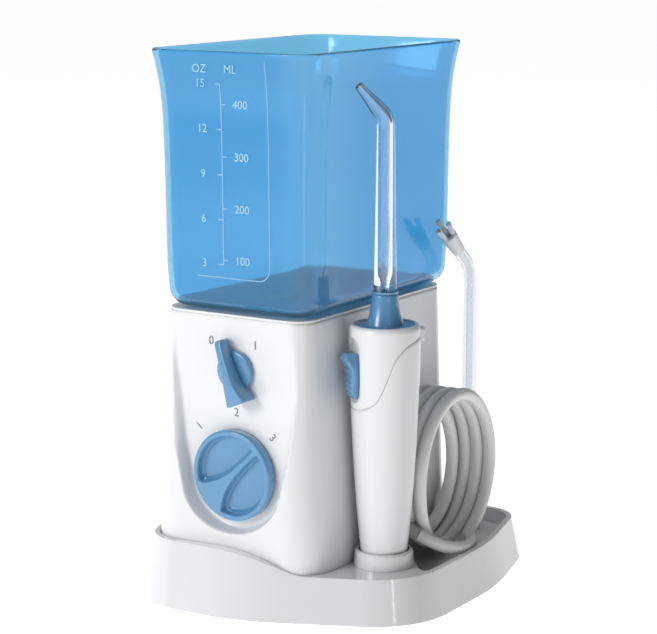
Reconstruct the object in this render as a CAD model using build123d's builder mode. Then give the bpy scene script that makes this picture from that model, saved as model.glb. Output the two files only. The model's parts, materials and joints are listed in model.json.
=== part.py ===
"""Countertop water flosser: tray base, motor body, lift-off reservoir, corded handle and spare tip.

Millimetres, +Z up. The origin is on the floor under the centre of the tray, and the controls face -Y.
"""
from build123d import *
import os
from math import atan, cos, degrees, pi, radians, sin, tan

os.makedirs("parts", exist_ok=True)

# ------------------------------------------------------------------ driving dimensions
HEIGHT = 209.3                      # floor to the reservoir's rim
TRAY_W, TRAY_D = 116.6, 139.0
FOOT_H = 1.0                        # the tray clears the floor by this much
FLOOR_Z = 12.2                      # top of the tray's inner floor
RIM_Z = 18.0                        # tray rim on the right and at the back, and the foot of the handle's cup
HUMP_Z = 26.0                       # tray rim in front of the body
TRAY_LEAN = 3.7 / 18                # how far the tray wall leans in, per millimetre of height
WALL = 2.2                          # moulded wall of the tray and the body
BODY_X, BODY_Y = -13.7, -0.9        # centre line of the body and the reservoir
BODY_TOP = 112.0
PANEL_Y = -54.7                     # flat control panel
KNOB_X = -11.6                      # both controls stand on this line
DIAL_Z, DIAL_R, DIAL_SHAFT_R = 53.0, 17.2, 3.2
RECESS_R = 21.0                     # round lower end of the control panel, about the dial
POWER_Z, POWER_SHAFT_R = 92.2, 2.8
POWER_REST, DIAL_REST = -23.0, 46.0  # angles from upright, clockwise seen from the front
TANK_Z = 113.2                      # underside of the reservoir
TANK_W, TANK_D, TANK_WALL = 66.4, 110.6, 2.0
OUTLET_X, OUTLET_Y = -12.5, -24.0   # reservoir outlet
HANDLE_X, HANDLE_Y = 34.1, -24.9
HANDLE_Z0, HANDLE_Z1 = 18.4, 109.8
FACING = (-0.63, -0.777)            # level direction that the handle's slide button faces
HOSE_D = 4.9
COIL_X = [40.9, 35.95, 31.0, 26.05]  # planes of the four outer turns
COIL_Y, COIL_Z = 17.6, 45.8         # centre of the outermost turn
COIL_RY, COIL_RZ = 27.5, 29.75      # its half depth and half height, to the hose's centre line
NEST_Y, NEST_RY, NEST_RZ = 15.9, 21.2, 25.2   # a fifth turn lies inside the two turns nearest the body
SPARE_X, SPARE_Y = 27.3, 52.3
GEAR_X, GEAR_Z, GEAR_Y = -1.0, 36.0, 4.0
MODULE, GEAR_TEETH, PINION_TEETH = 0.8, 44, 12
PUMP_Y = -5.0
CRANK = 4.5                         # throw of the crank pin
RUNNING = 0.06                      # radial clearance of a shaft in its bore

STAND = (Align.CENTER, Align.CENTER, Align.MIN)      # solids that stand on their location
HANG = (Align.CENTER, Align.CENTER, Align.MAX)       # solids that hang below it
SCREWS = [(BODY_X + sx * 30.5, y) for sx in (-1, 1) for y in (-46, 40)]
CHASSIS_SCREWS = [(BODY_X + sx * 18, y) for sx in (-1, 1) for y in (-34, 5)]
FEET = [(-44, -54), (-44, 55), (38, 55), (38, -38)]
BUTTON_PLANE = Plane(origin=(HANDLE_X, HANDLE_Y, 0), x_dir=(-FACING[1], FACING[0], 0), z_dir=(*FACING, 0))
SEAM_PLANE = Plane(origin=(HANDLE_X, HANDLE_Y, 0), x_dir=(-FACING[0], -FACING[1], 0),
                   z_dir=(-FACING[1], FACING[0], 0))


def save(piece, name):
    """Label a finished piece and write it as parts/name.step."""
    piece.part.label = name
    export_step(piece.part, f"parts/{name}.step")


def front_plane(y, x=0.0, z=0.0, turn=0.0):
    """A plane facing the user at depth y, turned clockwise as the user sees it."""
    angle = radians(turn)
    return Plane(origin=(x, y, z), x_dir=(cos(angle), 0, -sin(angle)), z_dir=(0, -1, 0))


def level_section(z, width, front, back, radius):
    """A rounded rectangle on the body's centre line, from y = front to y = back."""
    with BuildSketch(Plane.XY.offset(z)) as section:
        with Locations((BODY_X, (front + back) / 2)):
            RectangleRounded(width, back - front, radius)
    return section.sketch.faces()[0]


def body_section(z, width, front_left, front_right, back, radius):
    """The body's outline at height z; low down, its front slants back on the right."""
    left, right = BODY_X - width / 2, BODY_X + width / 2
    with BuildSketch(Plane.XY.offset(z)) as section:
        with BuildLine():
            FilletPolyline((left, back), (left, front_left), (right, front_right), (right, back),
                           radius=radius, close=True)
        make_face()
    return section.sketch.faces()[0]


def tray_outline(inset, z):
    """The tray's outline at height z, drawn in by inset."""
    half_w, half_d = TRAY_W / 2, TRAY_D / 2
    corners = [(-half_w, half_d), (-half_w, -half_d), (-6, -half_d),
               (half_w, -40.7), (half_w, 20.2), (45.3, half_d)]
    with BuildSketch(Plane.XY.offset(z)) as outline:
        with BuildLine():
            FilletPolyline(*corners, radius=[18, 25, 80, 32, 120, 18], close=True)
        make_face()
        if inset:
            offset(amount=-inset)
    return outline.sketch


def tube_path(points, radii=None):
    """Straight runs joined by tangent arcs, each as large as its two runs allow."""
    steps = [Vector(*b) - Vector(*a) for a, b in zip(points, points[1:])]
    turns = [a.get_angle(b) for a, b in zip(steps, steps[1:])]
    if radii is None:
        radii = [0.45 * min(a.length, b.length) / tan(radians(turn) / 2)
                 for a, b, turn in zip(steps, steps[1:], turns)]
    return FilletPolyline(*points, radius=radii), radii


def tube(points, radius, bore=0.0, radii=None, report=None):
    """Sweep a round tube along the points; the caller's BuildPart takes it in."""
    with BuildLine() as route:
        line, used = tube_path(points, radii)
    start = Plane(origin=line @ 0, z_dir=line % 0)
    for size, mode in ((radius, Mode.ADD), (bore, Mode.SUBTRACT)):
        if size:
            with BuildSketch(start) as section:
                Circle(size)
            sweep(sections=section.sketch, path=route.line, mode=mode)
    if report:
        length = sum(edge.length for edge in route.edges())
        print(report, "length", round(length, 1), "radii", [round(r, 1) for r in used])


# ------------------------------------------------------------------ tray and its fittings
with BuildPart() as base_tray:
    extrude(tray_outline(0, FOOT_H), amount=HUMP_Z - FOOT_H, taper=degrees(atan(TRAY_LEAN)))
    # the rim falls from the hump in front of the body to the low rim on the right
    with BuildSketch(Plane.XZ.offset(-TRAY_D / 2 - 1)):
        with BuildLine():
            edge = Spline((-62, 24.4), (-28, HUMP_Z - 0.1), (-4, HUMP_Z - 1.5), (9, 20.6), (19, RIM_Z),
                          tangents=[(1, 0.12), (1, 0)])
            Polyline(edge @ 1, (62, RIM_Z), (62, 40), (-62, 40), edge @ 0)
        make_face()
    extrude(amount=TRAY_D + 2, mode=Mode.SUBTRACT)
    # and from the sides of the body to the low rim at the back
    with BuildSketch(Plane.YZ.offset(-TRAY_W / 2 - 1)):
        with BuildLine():
            edge = Spline((-5, 30), (12, 24), (26, 20.4), (42, RIM_Z), tangents=[(1, -0.2), (1, 0)])
            Polyline(edge @ 1, (75, RIM_Z), (75, 40), (-5, 40), edge @ 0)
        make_face()
    extrude(amount=TRAY_W + 2, mode=Mode.SUBTRACT)
    # hollow underside, with a step for the bottom cover
    extrude(tray_outline(5.0, FOOT_H), amount=FLOOR_Z - WALL - FOOT_H, mode=Mode.SUBTRACT)
    extrude(tray_outline(3.0, FOOT_H), amount=1.6, mode=Mode.SUBTRACT)
    # seat of the body
    extrude(body_section(FLOOR_Z, 73.4, -63.3, -55.9, 52.6, 15.2), amount=20, mode=Mode.SUBTRACT)
    # coil well on the right and behind the body
    with BuildSketch(Plane.XY.offset(FLOOR_Z)):
        with BuildLine():
            FilletPolyline((19, -9.5), (37, -9.5), (49.5, -24.5), (60, -24.5), (60, 75), (-3, 75), (-3, 50),
                           (19, 48), radius=[2, 7, 5, 2, 2, 6, 2, 2], close=True)
        make_face()
        add(tray_outline(TRAY_LEAN * RIM_Z + 1.9, FLOOR_Z), mode=Mode.INTERSECT)
    extrude(amount=20, mode=Mode.SUBTRACT)
    # channel that takes the hose under the handle
    channel_end = (27.9, -8.0)
    channel_turn = degrees(atan((HANDLE_X - channel_end[0]) / (channel_end[1] - HANDLE_Y)))
    with BuildSketch(Plane(origin=(HANDLE_X, HANDLE_Y, FLOOR_Z))):
        Circle(3.6)
        with Locations(Location((0, 0, 0), (0, 0, 90 + channel_turn))):
            with Locations((10, 0)):
                Rectangle(20, 7.2)
    extrude(amount=20, mode=Mode.SUBTRACT)
    # relief under the platform keeps its wall even
    with BuildSketch(Plane.XY.offset(FLOOR_Z - WALL - 1)):
        with BuildLine():
            FilletPolyline((7, -56), (26, -48.5), (43, -38.5), (41, -32), (26, -39.5), (7, -51),
                           radius=2, close=True)
        make_face()
    extrude(amount=RIM_Z - FLOOR_Z + 1, mode=Mode.SUBTRACT)
    # screw holes into the body, seats of the cup and of the spare tip's post
    with Locations(*[(x, y, FLOOR_Z) for x, y in SCREWS]):
        Hole(1.7)
    with Locations((SPARE_X, SPARE_Y, FLOOR_Z)):
        Hole(2.0)
save(base_tray, "base_tray")

with BuildPart() as bottom_cover:
    extrude(tray_outline(3.15, FOOT_H), amount=1.5)
    with BuildSketch(Plane.XY.offset(FOOT_H)):
        with Locations(*SCREWS):
            Circle(3.6)
        with GridLocations(7, 0, 7, 1):
            SlotOverall(26, 2.4, rotation=90)
    extrude(amount=3, mode=Mode.SUBTRACT)
    with BuildSketch(Plane.XY.offset(FOOT_H + 0.6)):
        with Locations(*FEET):
            Circle(5.1)
    extrude(amount=-3, mode=Mode.SUBTRACT)
save(bottom_cover, "bottom_cover")

with BuildPart() as rubber_feet:
    with Locations(*[(x, y, 0) for x, y in FEET]):
        Cylinder(5.0, FOOT_H + 0.6, align=STAND)
    chamfer(rubber_feet.faces().group_by(Axis.Z)[0].edges(), 0.4)
save(rubber_feet, "rubber_feet")

with BuildPart() as base_screws:
    with Locations(*[(x, y, FLOOR_Z - WALL - 2.4) for x, y in SCREWS]):
        Cylinder(3.1, 2.4, align=STAND)
        Cylinder(1.4, 2.4 + WALL + 9, align=STAND)
save(base_screws, "base_screws")

with BuildPart() as handle_cup:
    with BuildSketch(Plane.XZ) as cup_profile:
        with BuildLine():
            Polyline((9.5, 0), (11.3, 0), (10.9, 5.4), (10.4, 6.1), (9.5, 6.1), close=True)
        make_face()
    revolve(axis=Axis.Z)
    with BuildSketch(Plane.XY):
        with Locations(Location((0, 0, 0), (0, 0, 90 + channel_turn))):
            with Locations((10, 0)):
                Rectangle(12, 7.2)
    extrude(amount=8, mode=Mode.SUBTRACT)
handle_cup.part = handle_cup.part.moved(Location((HANDLE_X, HANDLE_Y, RIM_Z)))
save(handle_cup, "handle_cup")

with BuildPart() as tip_post:
    with Locations((SPARE_X, SPARE_Y, FLOOR_Z)):
        Cylinder(5.2, 2.0, align=STAND)
        Cone(4.4, 1.9, 36, align=STAND)
        Cylinder(0.85, 46.8, align=STAND)
        Cylinder(1.95, WALL, align=HANG)
save(tip_post, "tip_post")

# ------------------------------------------------------------------ motor body
BODY_LEVELS = [  # height, width, front on the left and on the right, back, corner radius
    (FLOOR_Z + 0.15, 73.0, -63.0, -55.5, 52.3, 15.0), (19, 72.8, -63.0, -55.6, 52.2, 15.0),
    (40, 70.6, -62.0, -57.6, 50.6, 13.5), (60, 68.8, -60.4, -57.8, 49.7, 12.0),
    (85, 66.0, -57.4, -56.6, 48.8, 10.0), (BODY_TOP, 63.6, -54.9, -54.9, 48.1, 8.5)]
PANEL_BACK = PANEL_Y + WALL
BODY_HOLLOW = [
    (FLOOR_Z, 68.4, -60.6, -53.8, 50.0, 12.8), (21, 68.2, -60.4, -53.8, 49.9, 12.8),
    (28, 67.4, PANEL_BACK, PANEL_BACK, 49.4, 12.0), (60, 64.4, PANEL_BACK, PANEL_BACK, 47.5, 9.8),
    (85, 61.6, PANEL_BACK, PANEL_BACK, 46.6, 7.8), (BODY_TOP + 1, 59.2, PANEL_BACK, PANEL_BACK, 45.9, 6.3)]

with BuildPart() as body_shell:
    loft(sections=[body_section(*level) for level in BODY_LEVELS])
    loft(sections=[body_section(*level) for level in BODY_HOLLOW], ruled=True, mode=Mode.SUBTRACT)
    # the flat control panel: straight sides above, a round end under the dial
    with BuildSketch(front_plane(PANEL_Y, KNOB_X, DIAL_Z)):
        with BuildLine():
            low = radians(-25)
            right = Spline((RECESS_R * cos(low), RECESS_R * sin(low)), (25.2, 24), (28.4, 45), (28.9, 61),
                           tangents=[(-sin(low), cos(low)), (0, 1)])
            mirror(right, about=Plane.YZ)
            ThreePointArc(right @ 0, (0, -RECESS_R), (-(right @ 0).X, (right @ 0).Y))
            Line(right @ 1, (-(right @ 1).X, (right @ 1).Y))
        make_face()
    extrude(amount=20, mode=Mode.SUBTRACT)
    # bores for the two control shafts and for the hose outlet, the mains cable and the screws
    for shaft_z, radius in ((DIAL_Z, DIAL_SHAFT_R), (POWER_Z, POWER_SHAFT_R)):
        with BuildSketch(front_plane(PANEL_Y - 1, KNOB_X, shaft_z)):
            Circle(radius + RUNNING)
        extrude(amount=-8, mode=Mode.SUBTRACT)
    with BuildSketch(Plane.YZ.offset(10)):
        with Locations((-14.2, 33.4)):
            Circle(2.6)
    extrude(amount=20, mode=Mode.SUBTRACT)
    with BuildSketch(front_plane(60, -30, 26)):
        Circle(4.0)
    extrude(amount=20, mode=Mode.SUBTRACT)
    with Locations(*[(x, y, FLOOR_Z + 0.15) for x, y in SCREWS]):
        Cylinder(4.2, 11, align=STAND)
        Cylinder(1.4, 11, align=STAND, mode=Mode.SUBTRACT)
save(body_shell, "body_shell")

with BuildPart() as top_deck:
    extrude(level_section(BODY_TOP, 63.2, -54.6, 47.9, 8.2), amount=0.9)
    extrude(level_section(BODY_TOP, 58.9, -52.1, 45.7, 6.0), amount=-4)
    extrude(level_section(BODY_TOP - 4, 54.9, -48.1, 41.7, 5.0), amount=2.2, mode=Mode.SUBTRACT)
    with BuildSketch(Plane.XY.offset(BODY_TOP - 13)):
        with Locations((OUTLET_X, OUTLET_Y)):
            Circle(10.2)
    extrude(amount=13)
    with Locations((OUTLET_X, OUTLET_Y, BODY_TOP + 0.9)):
        Cylinder(8.4, 12, align=HANG, mode=Mode.SUBTRACT)
        Cylinder(1.6, 16, align=HANG, mode=Mode.SUBTRACT)
    with BuildSketch(Plane.XY.offset(BODY_TOP - 17)):
        with Locations((OUTLET_X, OUTLET_Y)):
            Circle(2.6)
            Circle(1.6, mode=Mode.SUBTRACT)
    extrude(amount=4.2)
save(top_deck, "top_deck")

with BuildPart() as deck_seal:
    with Locations((OUTLET_X, OUTLET_Y, BODY_TOP - 6)):
        Cylinder(8.38, 2.4, align=STAND)
        Cylinder(7.3, 2.4, align=STAND, mode=Mode.SUBTRACT)
save(deck_seal, "deck_seal")

# ------------------------------------------------------------------ reservoir and its outlet valve
TANK_LEVELS = [(TANK_Z, -1.0), (125, -0.3), (150, 0.1), (175, 0.4), (190, 0.9), (198, 1.6), (205, 2.6),
               (HEIGHT, 3.4)]       # height, and how far the wall stands out there


def tank_levels(inset, bottom):
    """Sections of the reservoir, flared at the rim and drawn in by inset."""
    heights = [(bottom, -1.0)] + TANK_LEVELS[1:-1] + [(HEIGHT + (0.5 if inset else 0), TANK_LEVELS[-1][1])]
    return [level_section(z, TANK_W + 2 * (f - inset), BODY_Y - TANK_D / 2 - f + inset,
                          BODY_Y + TANK_D / 2 + f - inset, 10 - inset) for z, f in heights]


with BuildPart() as tank_hollow:
    loft(sections=tank_levels(TANK_WALL, TANK_Z + 2.4))
    fillet(tank_hollow.faces().sort_by(Axis.Z)[0].edges(), 4.5)

with BuildPart() as reservoir:
    loft(sections=tank_levels(0, TANK_Z))
    fillet(reservoir.faces().sort_by(Axis.Z)[0].edges(), 6.5)
    add(tank_hollow.part, mode=Mode.SUBTRACT)
    # outlet spout below the floor, with a cage ring for the valve
    with Locations((OUTLET_X, OUTLET_Y, TANK_Z + 2.4)):
        Cylinder(7.0, 11.4, align=HANG)
        Cylinder(5.4, 9.4, align=HANG, mode=Mode.SUBTRACT)
        Cylinder(2.2, 12, align=HANG, mode=Mode.SUBTRACT)
save(reservoir, "reservoir")

with BuildPart() as outlet_valve_stem:
    with Locations((OUTLET_X, OUTLET_Y, TANK_Z + 2.4)):
        Cylinder(1.3, 13.0, align=HANG)
        Cylinder(4.2, 1.4, align=HANG)
save(outlet_valve_stem, "outlet_valve_stem")

with BuildPart() as outlet_valve_spring:
    with BuildLine():
        coil = Helix(1.75, 7.0, 3.0, center=(OUTLET_X, OUTLET_Y, TANK_Z - 6.5))
    with BuildSketch(Plane(origin=coil @ 0, z_dir=coil % 0)):
        Circle(0.35)
    sweep()
save(outlet_valve_spring, "outlet_valve_spring")

with BuildPart() as outlet_valve_seal:
    with Locations((OUTLET_X, OUTLET_Y, TANK_Z - 9.05)):
        Cylinder(3.4, 1.2, align=HANG)
        Cylinder(1.3, 2, align=HANG, mode=Mode.SUBTRACT)
save(outlet_valve_seal, "outlet_valve_seal")

# ------------------------------------------------------------------ controls
KNOB_BACK = PANEL_Y - 0.4           # the controls stand just clear of the panel

with BuildPart() as power_knob:
    power_plane = front_plane(KNOB_BACK, KNOB_X, POWER_Z, POWER_REST)
    with BuildSketch(power_plane):
        Circle(7.6)
    extrude(amount=1.8)
    # curved wedge: thin and low at the pointer, broad and tall at the thumb end
    with BuildSketch(power_plane):
        with BuildLine():
            left = Spline((-1.2, 12.5), (-1.5, 2.0), (-3.6, -12.2))
            right = Spline((2.0, 12.5), (1.8, 5.0), (2.4, -4.0), (4.8, -12.0))
            Line(left @ 0, right @ 0)
            Line(left @ 1, right @ 1)
        make_face()
    extrude(amount=8.6)
    chamfer(power_knob.faces().sort_by(Axis.Y)[0].edges(), 0.6)
    pointer = radians(POWER_REST)
    with BuildSketch(Plane(origin=(KNOB_X, KNOB_BACK, POWER_Z), x_dir=(sin(pointer), 0, cos(pointer)),
                           z_dir=(cos(pointer), 0, -sin(pointer)))):
        with BuildLine():
            Polyline((-3, 8.7), (14, 5.8), (14, 10), (-3, 10), close=True)
        make_face()
    extrude(amount=8, both=True, mode=Mode.SUBTRACT)
    with BuildSketch(front_plane(KNOB_BACK, KNOB_X, POWER_Z)):
        Circle(POWER_SHAFT_R)
    extrude(amount=-14)
save(power_knob, "power_knob")

with BuildPart() as power_switch:
    with BuildSketch(front_plane(PANEL_Y + WALL + 0.4, KNOB_X, POWER_Z)):
        RectangleRounded(17, 15, 2)
        Circle(POWER_SHAFT_R + RUNNING, mode=Mode.SUBTRACT)
    extrude(amount=-12.5)
    with BuildSketch(front_plane(PANEL_Y + WALL + 0.4 + 12.5, KNOB_X, POWER_Z)):
        with GridLocations(8, 0, 2, 1):
            Rectangle(2.4, 0.8)
    extrude(amount=-5)
save(power_switch, "power_switch")

with BuildPart() as pressure_dial:
    dial_plane = front_plane(KNOB_BACK, KNOB_X, DIAL_Z, DIAL_REST)
    dial_face = front_plane(KNOB_BACK - 4.2, KNOB_X, DIAL_Z, DIAL_REST)
    with BuildSketch(dial_plane):
        Circle(DIAL_R)
    extrude(amount=4.2)
    fillet(pressure_dial.faces().sort_by(Axis.Y)[0].edges(), 0.7)
    # two stepped pockets leave a grip that is thin at the pointer and broad at the other end
    for depth, rim in ((2.4, 15.2), (3.4, 14.2)):
        shrink = 0.8 * (15.2 - rim)
        with BuildSketch(dial_face):
            Circle(rim)
            with BuildLine():
                side = Spline((0.8 + shrink, 16.5), (1.0 + shrink, 5), (3.1 + shrink, -7),
                              (8.4 + shrink, -16.5))
                mirror(side, about=Plane.YZ)
                Line(side @ 0, (-(side @ 0).X, (side @ 0).Y))
                Line(side @ 1, (-(side @ 1).X, (side @ 1).Y))
            make_face(mode=Mode.SUBTRACT)
        extrude(amount=-depth, mode=Mode.SUBTRACT)
    with BuildSketch(front_plane(KNOB_BACK, KNOB_X, DIAL_Z)):
        Circle(DIAL_SHAFT_R)
    extrude(amount=-8)
save(pressure_dial, "pressure_dial")

with BuildPart() as pressure_valve_spindle:
    with BuildSketch(front_plane(KNOB_BACK + 8, KNOB_X, DIAL_Z)):
        Circle(2.6)
    extrude(amount=-12)
    with BuildSketch(front_plane(KNOB_BACK + 16, KNOB_X, DIAL_Z)):
        Circle(1.2)
    extrude(amount=-2.2, mode=Mode.SUBTRACT)
save(pressure_valve_spindle, "pressure_valve_spindle")

with BuildPart() as pressure_valve_body:
    with BuildSketch(front_plane(KNOB_BACK + 8.6, KNOB_X, DIAL_Z)):
        Circle(7.5)
        Circle(2.6 + RUNNING, mode=Mode.SUBTRACT)
    extrude(amount=-12)
    with BuildSketch(front_plane(KNOB_BACK + 20.6, KNOB_X, DIAL_Z)):
        Circle(7.5)
    extrude(amount=-2)
save(pressure_valve_body, "pressure_valve_body")

# ------------------------------------------------------------------ drive: motor, gears and pump
MOTOR_X = GEAR_X - MODULE * (GEAR_TEETH + PINION_TEETH) / 2


def gear_face(teeth, bore, phase):
    """A straight-flanked spur gear with backlash, one tooth at the phase angle in degrees."""
    pitch_r = MODULE * teeth / 2
    rings = [(pitch_r - 1.2 * MODULE, 0.66), (pitch_r, 0.42), (pitch_r + 0.9 * MODULE, 0.20)]
    points = []
    for tooth in range(teeth):
        middle = radians(phase) + 2 * pi * tooth / teeth
        flank = [(r, share * pi / teeth) for r, share in rings]
        for r, half in flank + [(r, -half) for r, half in reversed(flank)]:
            points.append((r * cos(middle - half), r * sin(middle - half)))
    with BuildSketch(Plane.XZ) as gear:
        Polygon(*points, align=None)
        Circle(bore, mode=Mode.SUBTRACT)
    return gear.sketch


with BuildPart() as pump_chassis:
    with BuildSketch(Plane.XY.offset(FLOOR_Z)):
        with Locations((BODY_X, -2)):
            RectangleRounded(44, 74, 5)
    extrude(amount=2.8)
    # motor cradle, gear bracket and the post under the pressure valve
    with BuildSketch(Plane.XZ.offset(-18)):
        with Locations((MOTOR_X, FLOOR_Z + 1)):
            Rectangle(24, 22, align=(Align.CENTER, Align.MIN))
        with Locations((MOTOR_X, GEAR_Z)):
            Circle(13.05, mode=Mode.SUBTRACT)
    extrude(amount=-20)
    with BuildSketch(Plane.XZ.offset(-GEAR_Y - 7.5)):
        with Locations((GEAR_X, FLOOR_Z + 1)):
            Rectangle(12, GEAR_Z - FLOOR_Z + 5, align=(Align.CENTER, Align.MIN))
        with Locations((GEAR_X, GEAR_Z)):
            Circle(2.0, mode=Mode.SUBTRACT)
    extrude(amount=-4)
    with BuildSketch(Plane.XZ.offset(37)):
        with Locations((KNOB_X, FLOOR_Z + 1)):
            Rectangle(8, DIAL_Z - 7.5 - FLOOR_Z - 1, align=(Align.CENTER, Align.MIN))
    extrude(amount=-4)
    # post and ring that carry the pump cylinder
    with BuildSketch(Plane.XY.offset(72)):
        with Locations((GEAR_X, PUMP_Y)):
            Circle(11)
            with Locations((0, 0)):
                Rectangle(10, 20, align=(Align.CENTER, Align.MAX))
            Circle(9, mode=Mode.SUBTRACT)
    extrude(amount=8)
    with BuildSketch(Plane.XY.offset(FLOOR_Z + 1)):
        with Locations((GEAR_X, PUMP_Y - 17)):
            Rectangle(10, 5)
    extrude(amount=80 - FLOOR_Z - 1)
    with Locations(*[(x, y, FLOOR_Z) for x, y in CHASSIS_SCREWS]):
        Cylinder(1.4, 2.8, align=STAND, mode=Mode.SUBTRACT)
save(pump_chassis, "pump_chassis")

with BuildPart() as chassis_screws:
    with Locations(*[(x, y, FLOOR_Z) for x, y in CHASSIS_SCREWS]):
        Cylinder(1.4, 2.8, align=STAND)
    with Locations(*[(x, y, FLOOR_Z + 2.8) for x, y in CHASSIS_SCREWS]):
        Cylinder(2.8, 1.8, align=STAND)
save(chassis_screws, "chassis_screws")

with BuildPart() as motor:
    with BuildSketch(Plane.XZ.offset(-14.5)):
        with Locations((MOTOR_X, GEAR_Z)):
            Circle(13.0)
    extrude(amount=-29)
    chamfer(motor.edges().filter_by(GeomType.CIRCLE), 1.2)
    with BuildSketch(Plane.XZ.offset(-12.6)):
        with Locations((MOTOR_X, GEAR_Z)):
            Circle(4.5)
            Circle(1.5 + RUNNING, mode=Mode.SUBTRACT)
    extrude(amount=-2.0)
    with BuildSketch(Plane.XZ.offset(-12.5)):
        with Locations((MOTOR_X, GEAR_Z)):
            Circle(1.5 + RUNNING)
    extrude(amount=-8, mode=Mode.SUBTRACT)
save(motor, "motor")

with BuildPart() as motor_pinion:
    extrude(gear_face(PINION_TEETH, 0.6, 180 / PINION_TEETH), amount=6)
    with BuildSketch(Plane.XZ):
        Circle(1.5)
    extrude(amount=-10)
    with BuildSketch(Plane.XZ):
        Circle(1.5)
    extrude(amount=6)
motor_pinion.part = motor_pinion.part.moved(Location((MOTOR_X, GEAR_Y + 6, GEAR_Z)))
save(motor_pinion, "motor_pinion")

with BuildPart() as drive_gear:
    extrude(gear_face(GEAR_TEETH, 2.0 + RUNNING, 0), amount=6)
    with BuildSketch(Plane.XZ.offset(6)):
        Circle(4.5)
        Circle(2.0 + RUNNING, mode=Mode.SUBTRACT)
    extrude(amount=-7)
    # lightening holes and the crank pin
    with BuildSketch(Plane.XZ):
        with PolarLocations(10.6, 6):
            Circle(3.2)
    extrude(amount=6, mode=Mode.SUBTRACT)
    with BuildSketch(Plane.XZ.offset(5)):
        with Locations((0, CRANK)):
            Circle(2.0)
    extrude(amount=5.4)
drive_gear.part = drive_gear.part.moved(Location((GEAR_X, GEAR_Y + 6, GEAR_Z)))
save(drive_gear, "drive_gear")

with BuildPart() as gear_axle:
    with BuildSketch(Plane.XZ.offset(-GEAR_Y + 0.9)):
        with Locations((GEAR_X, GEAR_Z)):
            Circle(2.0)
    extrude(amount=-GEAR_Y - 8.5)
    with BuildSketch(Plane.XZ.offset(-GEAR_Y + 0.5)):
        with Locations((GEAR_X, GEAR_Z)):
            Circle(2.4)
    extrude(amount=0.6)
save(gear_axle, "gear_axle")

# scotch yoke: the crank pin runs just behind its slot, and the rod carries the piston
YOKE_Y = -0.9                       # rear face of the yoke plate
PIN_Z = GEAR_Z + CRANK
PUMP_Z, PUMP_H, PUMP_R = 66.0, 27.0, 6.0
NIPPLE_Z = PUMP_Z + PUMP_H + 4

with BuildPart() as pump_piston:
    with BuildSketch(Plane.XZ.offset(-YOKE_Y)):
        with Locations((GEAR_X, PIN_Z)):
            RectangleRounded(19, 9.4, 2.5)
            SlotOverall(13.6, 4.4, mode=Mode.SUBTRACT)
        with Locations((GEAR_X, PIN_Z + 4)):
            Rectangle(6.5, 14, align=(Align.CENTER, Align.MIN))
    extrude(amount=3.4)
    with Locations((GEAR_X, PUMP_Y, PIN_Z + 9)):
        Cylinder(2.4, 36, align=STAND)
    with Locations((GEAR_X, PUMP_Y, PIN_Z + 45)):
        Cylinder(PUMP_R - RUNNING, 5.0, align=HANG)
    with Locations((GEAR_X, PUMP_Y, PIN_Z + 43.2)):
        Cylinder(PUMP_R, 1.4, align=HANG, mode=Mode.SUBTRACT)
        Cylinder(4.8, 1.4, align=HANG)
save(pump_piston, "pump_piston")

with BuildPart() as piston_seal:
    with Locations((GEAR_X, PUMP_Y, PIN_Z + 43.15)):
        Cylinder(PUMP_R - 0.02, 1.3, align=HANG)
        Cylinder(4.8, 1.3, align=HANG, mode=Mode.SUBTRACT)
save(piston_seal, "piston_seal")

with BuildPart() as pump_cylinder:
    with Locations((GEAR_X, PUMP_Y, PUMP_Z)):
        Cylinder(9.0, PUMP_H, align=STAND)
        Cylinder(PUMP_R, PUMP_H, align=STAND, mode=Mode.SUBTRACT)
save(pump_cylinder, "pump_cylinder")

with BuildPart() as pump_head:
    with BuildSketch(Plane.XY.offset(PUMP_Z + PUMP_H)):
        with Locations((GEAR_X, PUMP_Y)):
            Circle(9.0)
            Rectangle(26, 10)
    extrude(amount=9)
    # valve chambers on both sides, joined to the pump's bore
    for side in (-1, 1):
        with Locations((GEAR_X + side * 9, PUMP_Y, PUMP_Z + PUMP_H + 1.8)):
            Cylinder(2.6, 5.2, align=STAND, mode=Mode.SUBTRACT)
    with BuildSketch(Plane.YZ.offset(GEAR_X - 9)):
        with Locations((PUMP_Y, NIPPLE_Z)):
            Circle(1.4)
    extrude(amount=18, mode=Mode.SUBTRACT)
    with Locations((GEAR_X, PUMP_Y, PUMP_Z + PUMP_H)):
        Cylinder(1.8, 4, align=STAND, mode=Mode.SUBTRACT)
    # inlet nipple on the left, outlet nipple towards the front
    for place, size, length in ((-12, 2.2, 5), (-9, 1.2, 9)):
        with BuildSketch(Plane.YZ.offset(GEAR_X + place)):
            with Locations((PUMP_Y, NIPPLE_Z)):
                Circle(size)
        extrude(amount=-length, mode=Mode.ADD if place == -12 else Mode.SUBTRACT)
    for place, size, length in ((-4, 2.2, 5), (0, 1.2, 10)):
        with BuildSketch(Plane.XZ.offset(-PUMP_Y - place)):
            with Locations((GEAR_X + 9, NIPPLE_Z)):
                Circle(size)
        extrude(amount=length, mode=Mode.ADD if place == -4 else Mode.SUBTRACT)
save(pump_head, "pump_head")

for name, side in (("inlet_check_valve", -1), ("outlet_check_valve", 1)):
    with BuildPart() as check_valve:
        with Locations((GEAR_X + side * 9, PUMP_Y, PUMP_Z + PUMP_H + 1.9)):
            Cylinder(2.4, 1.2, align=STAND)
            Cylinder(0.9, 4.8, align=STAND)
    save(check_valve, name)

with BuildPart() as inlet_tube:
    tube([(GEAR_X - 17, PUMP_Y, NIPPLE_Z), (-21.8, -5.4, 95.2), (-23.8, -9.0, 89.0), (-21.2, -14.8, 84.0),
          (-16.2, -20.6, 83.2), (OUTLET_X - 0.4, OUTLET_Y + 0.5, 87.2), (OUTLET_X, OUTLET_Y, BODY_TOP - 17)],
         2.4, 1.4, report="inlet tube")
save(inlet_tube, "inlet_tube")

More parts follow.
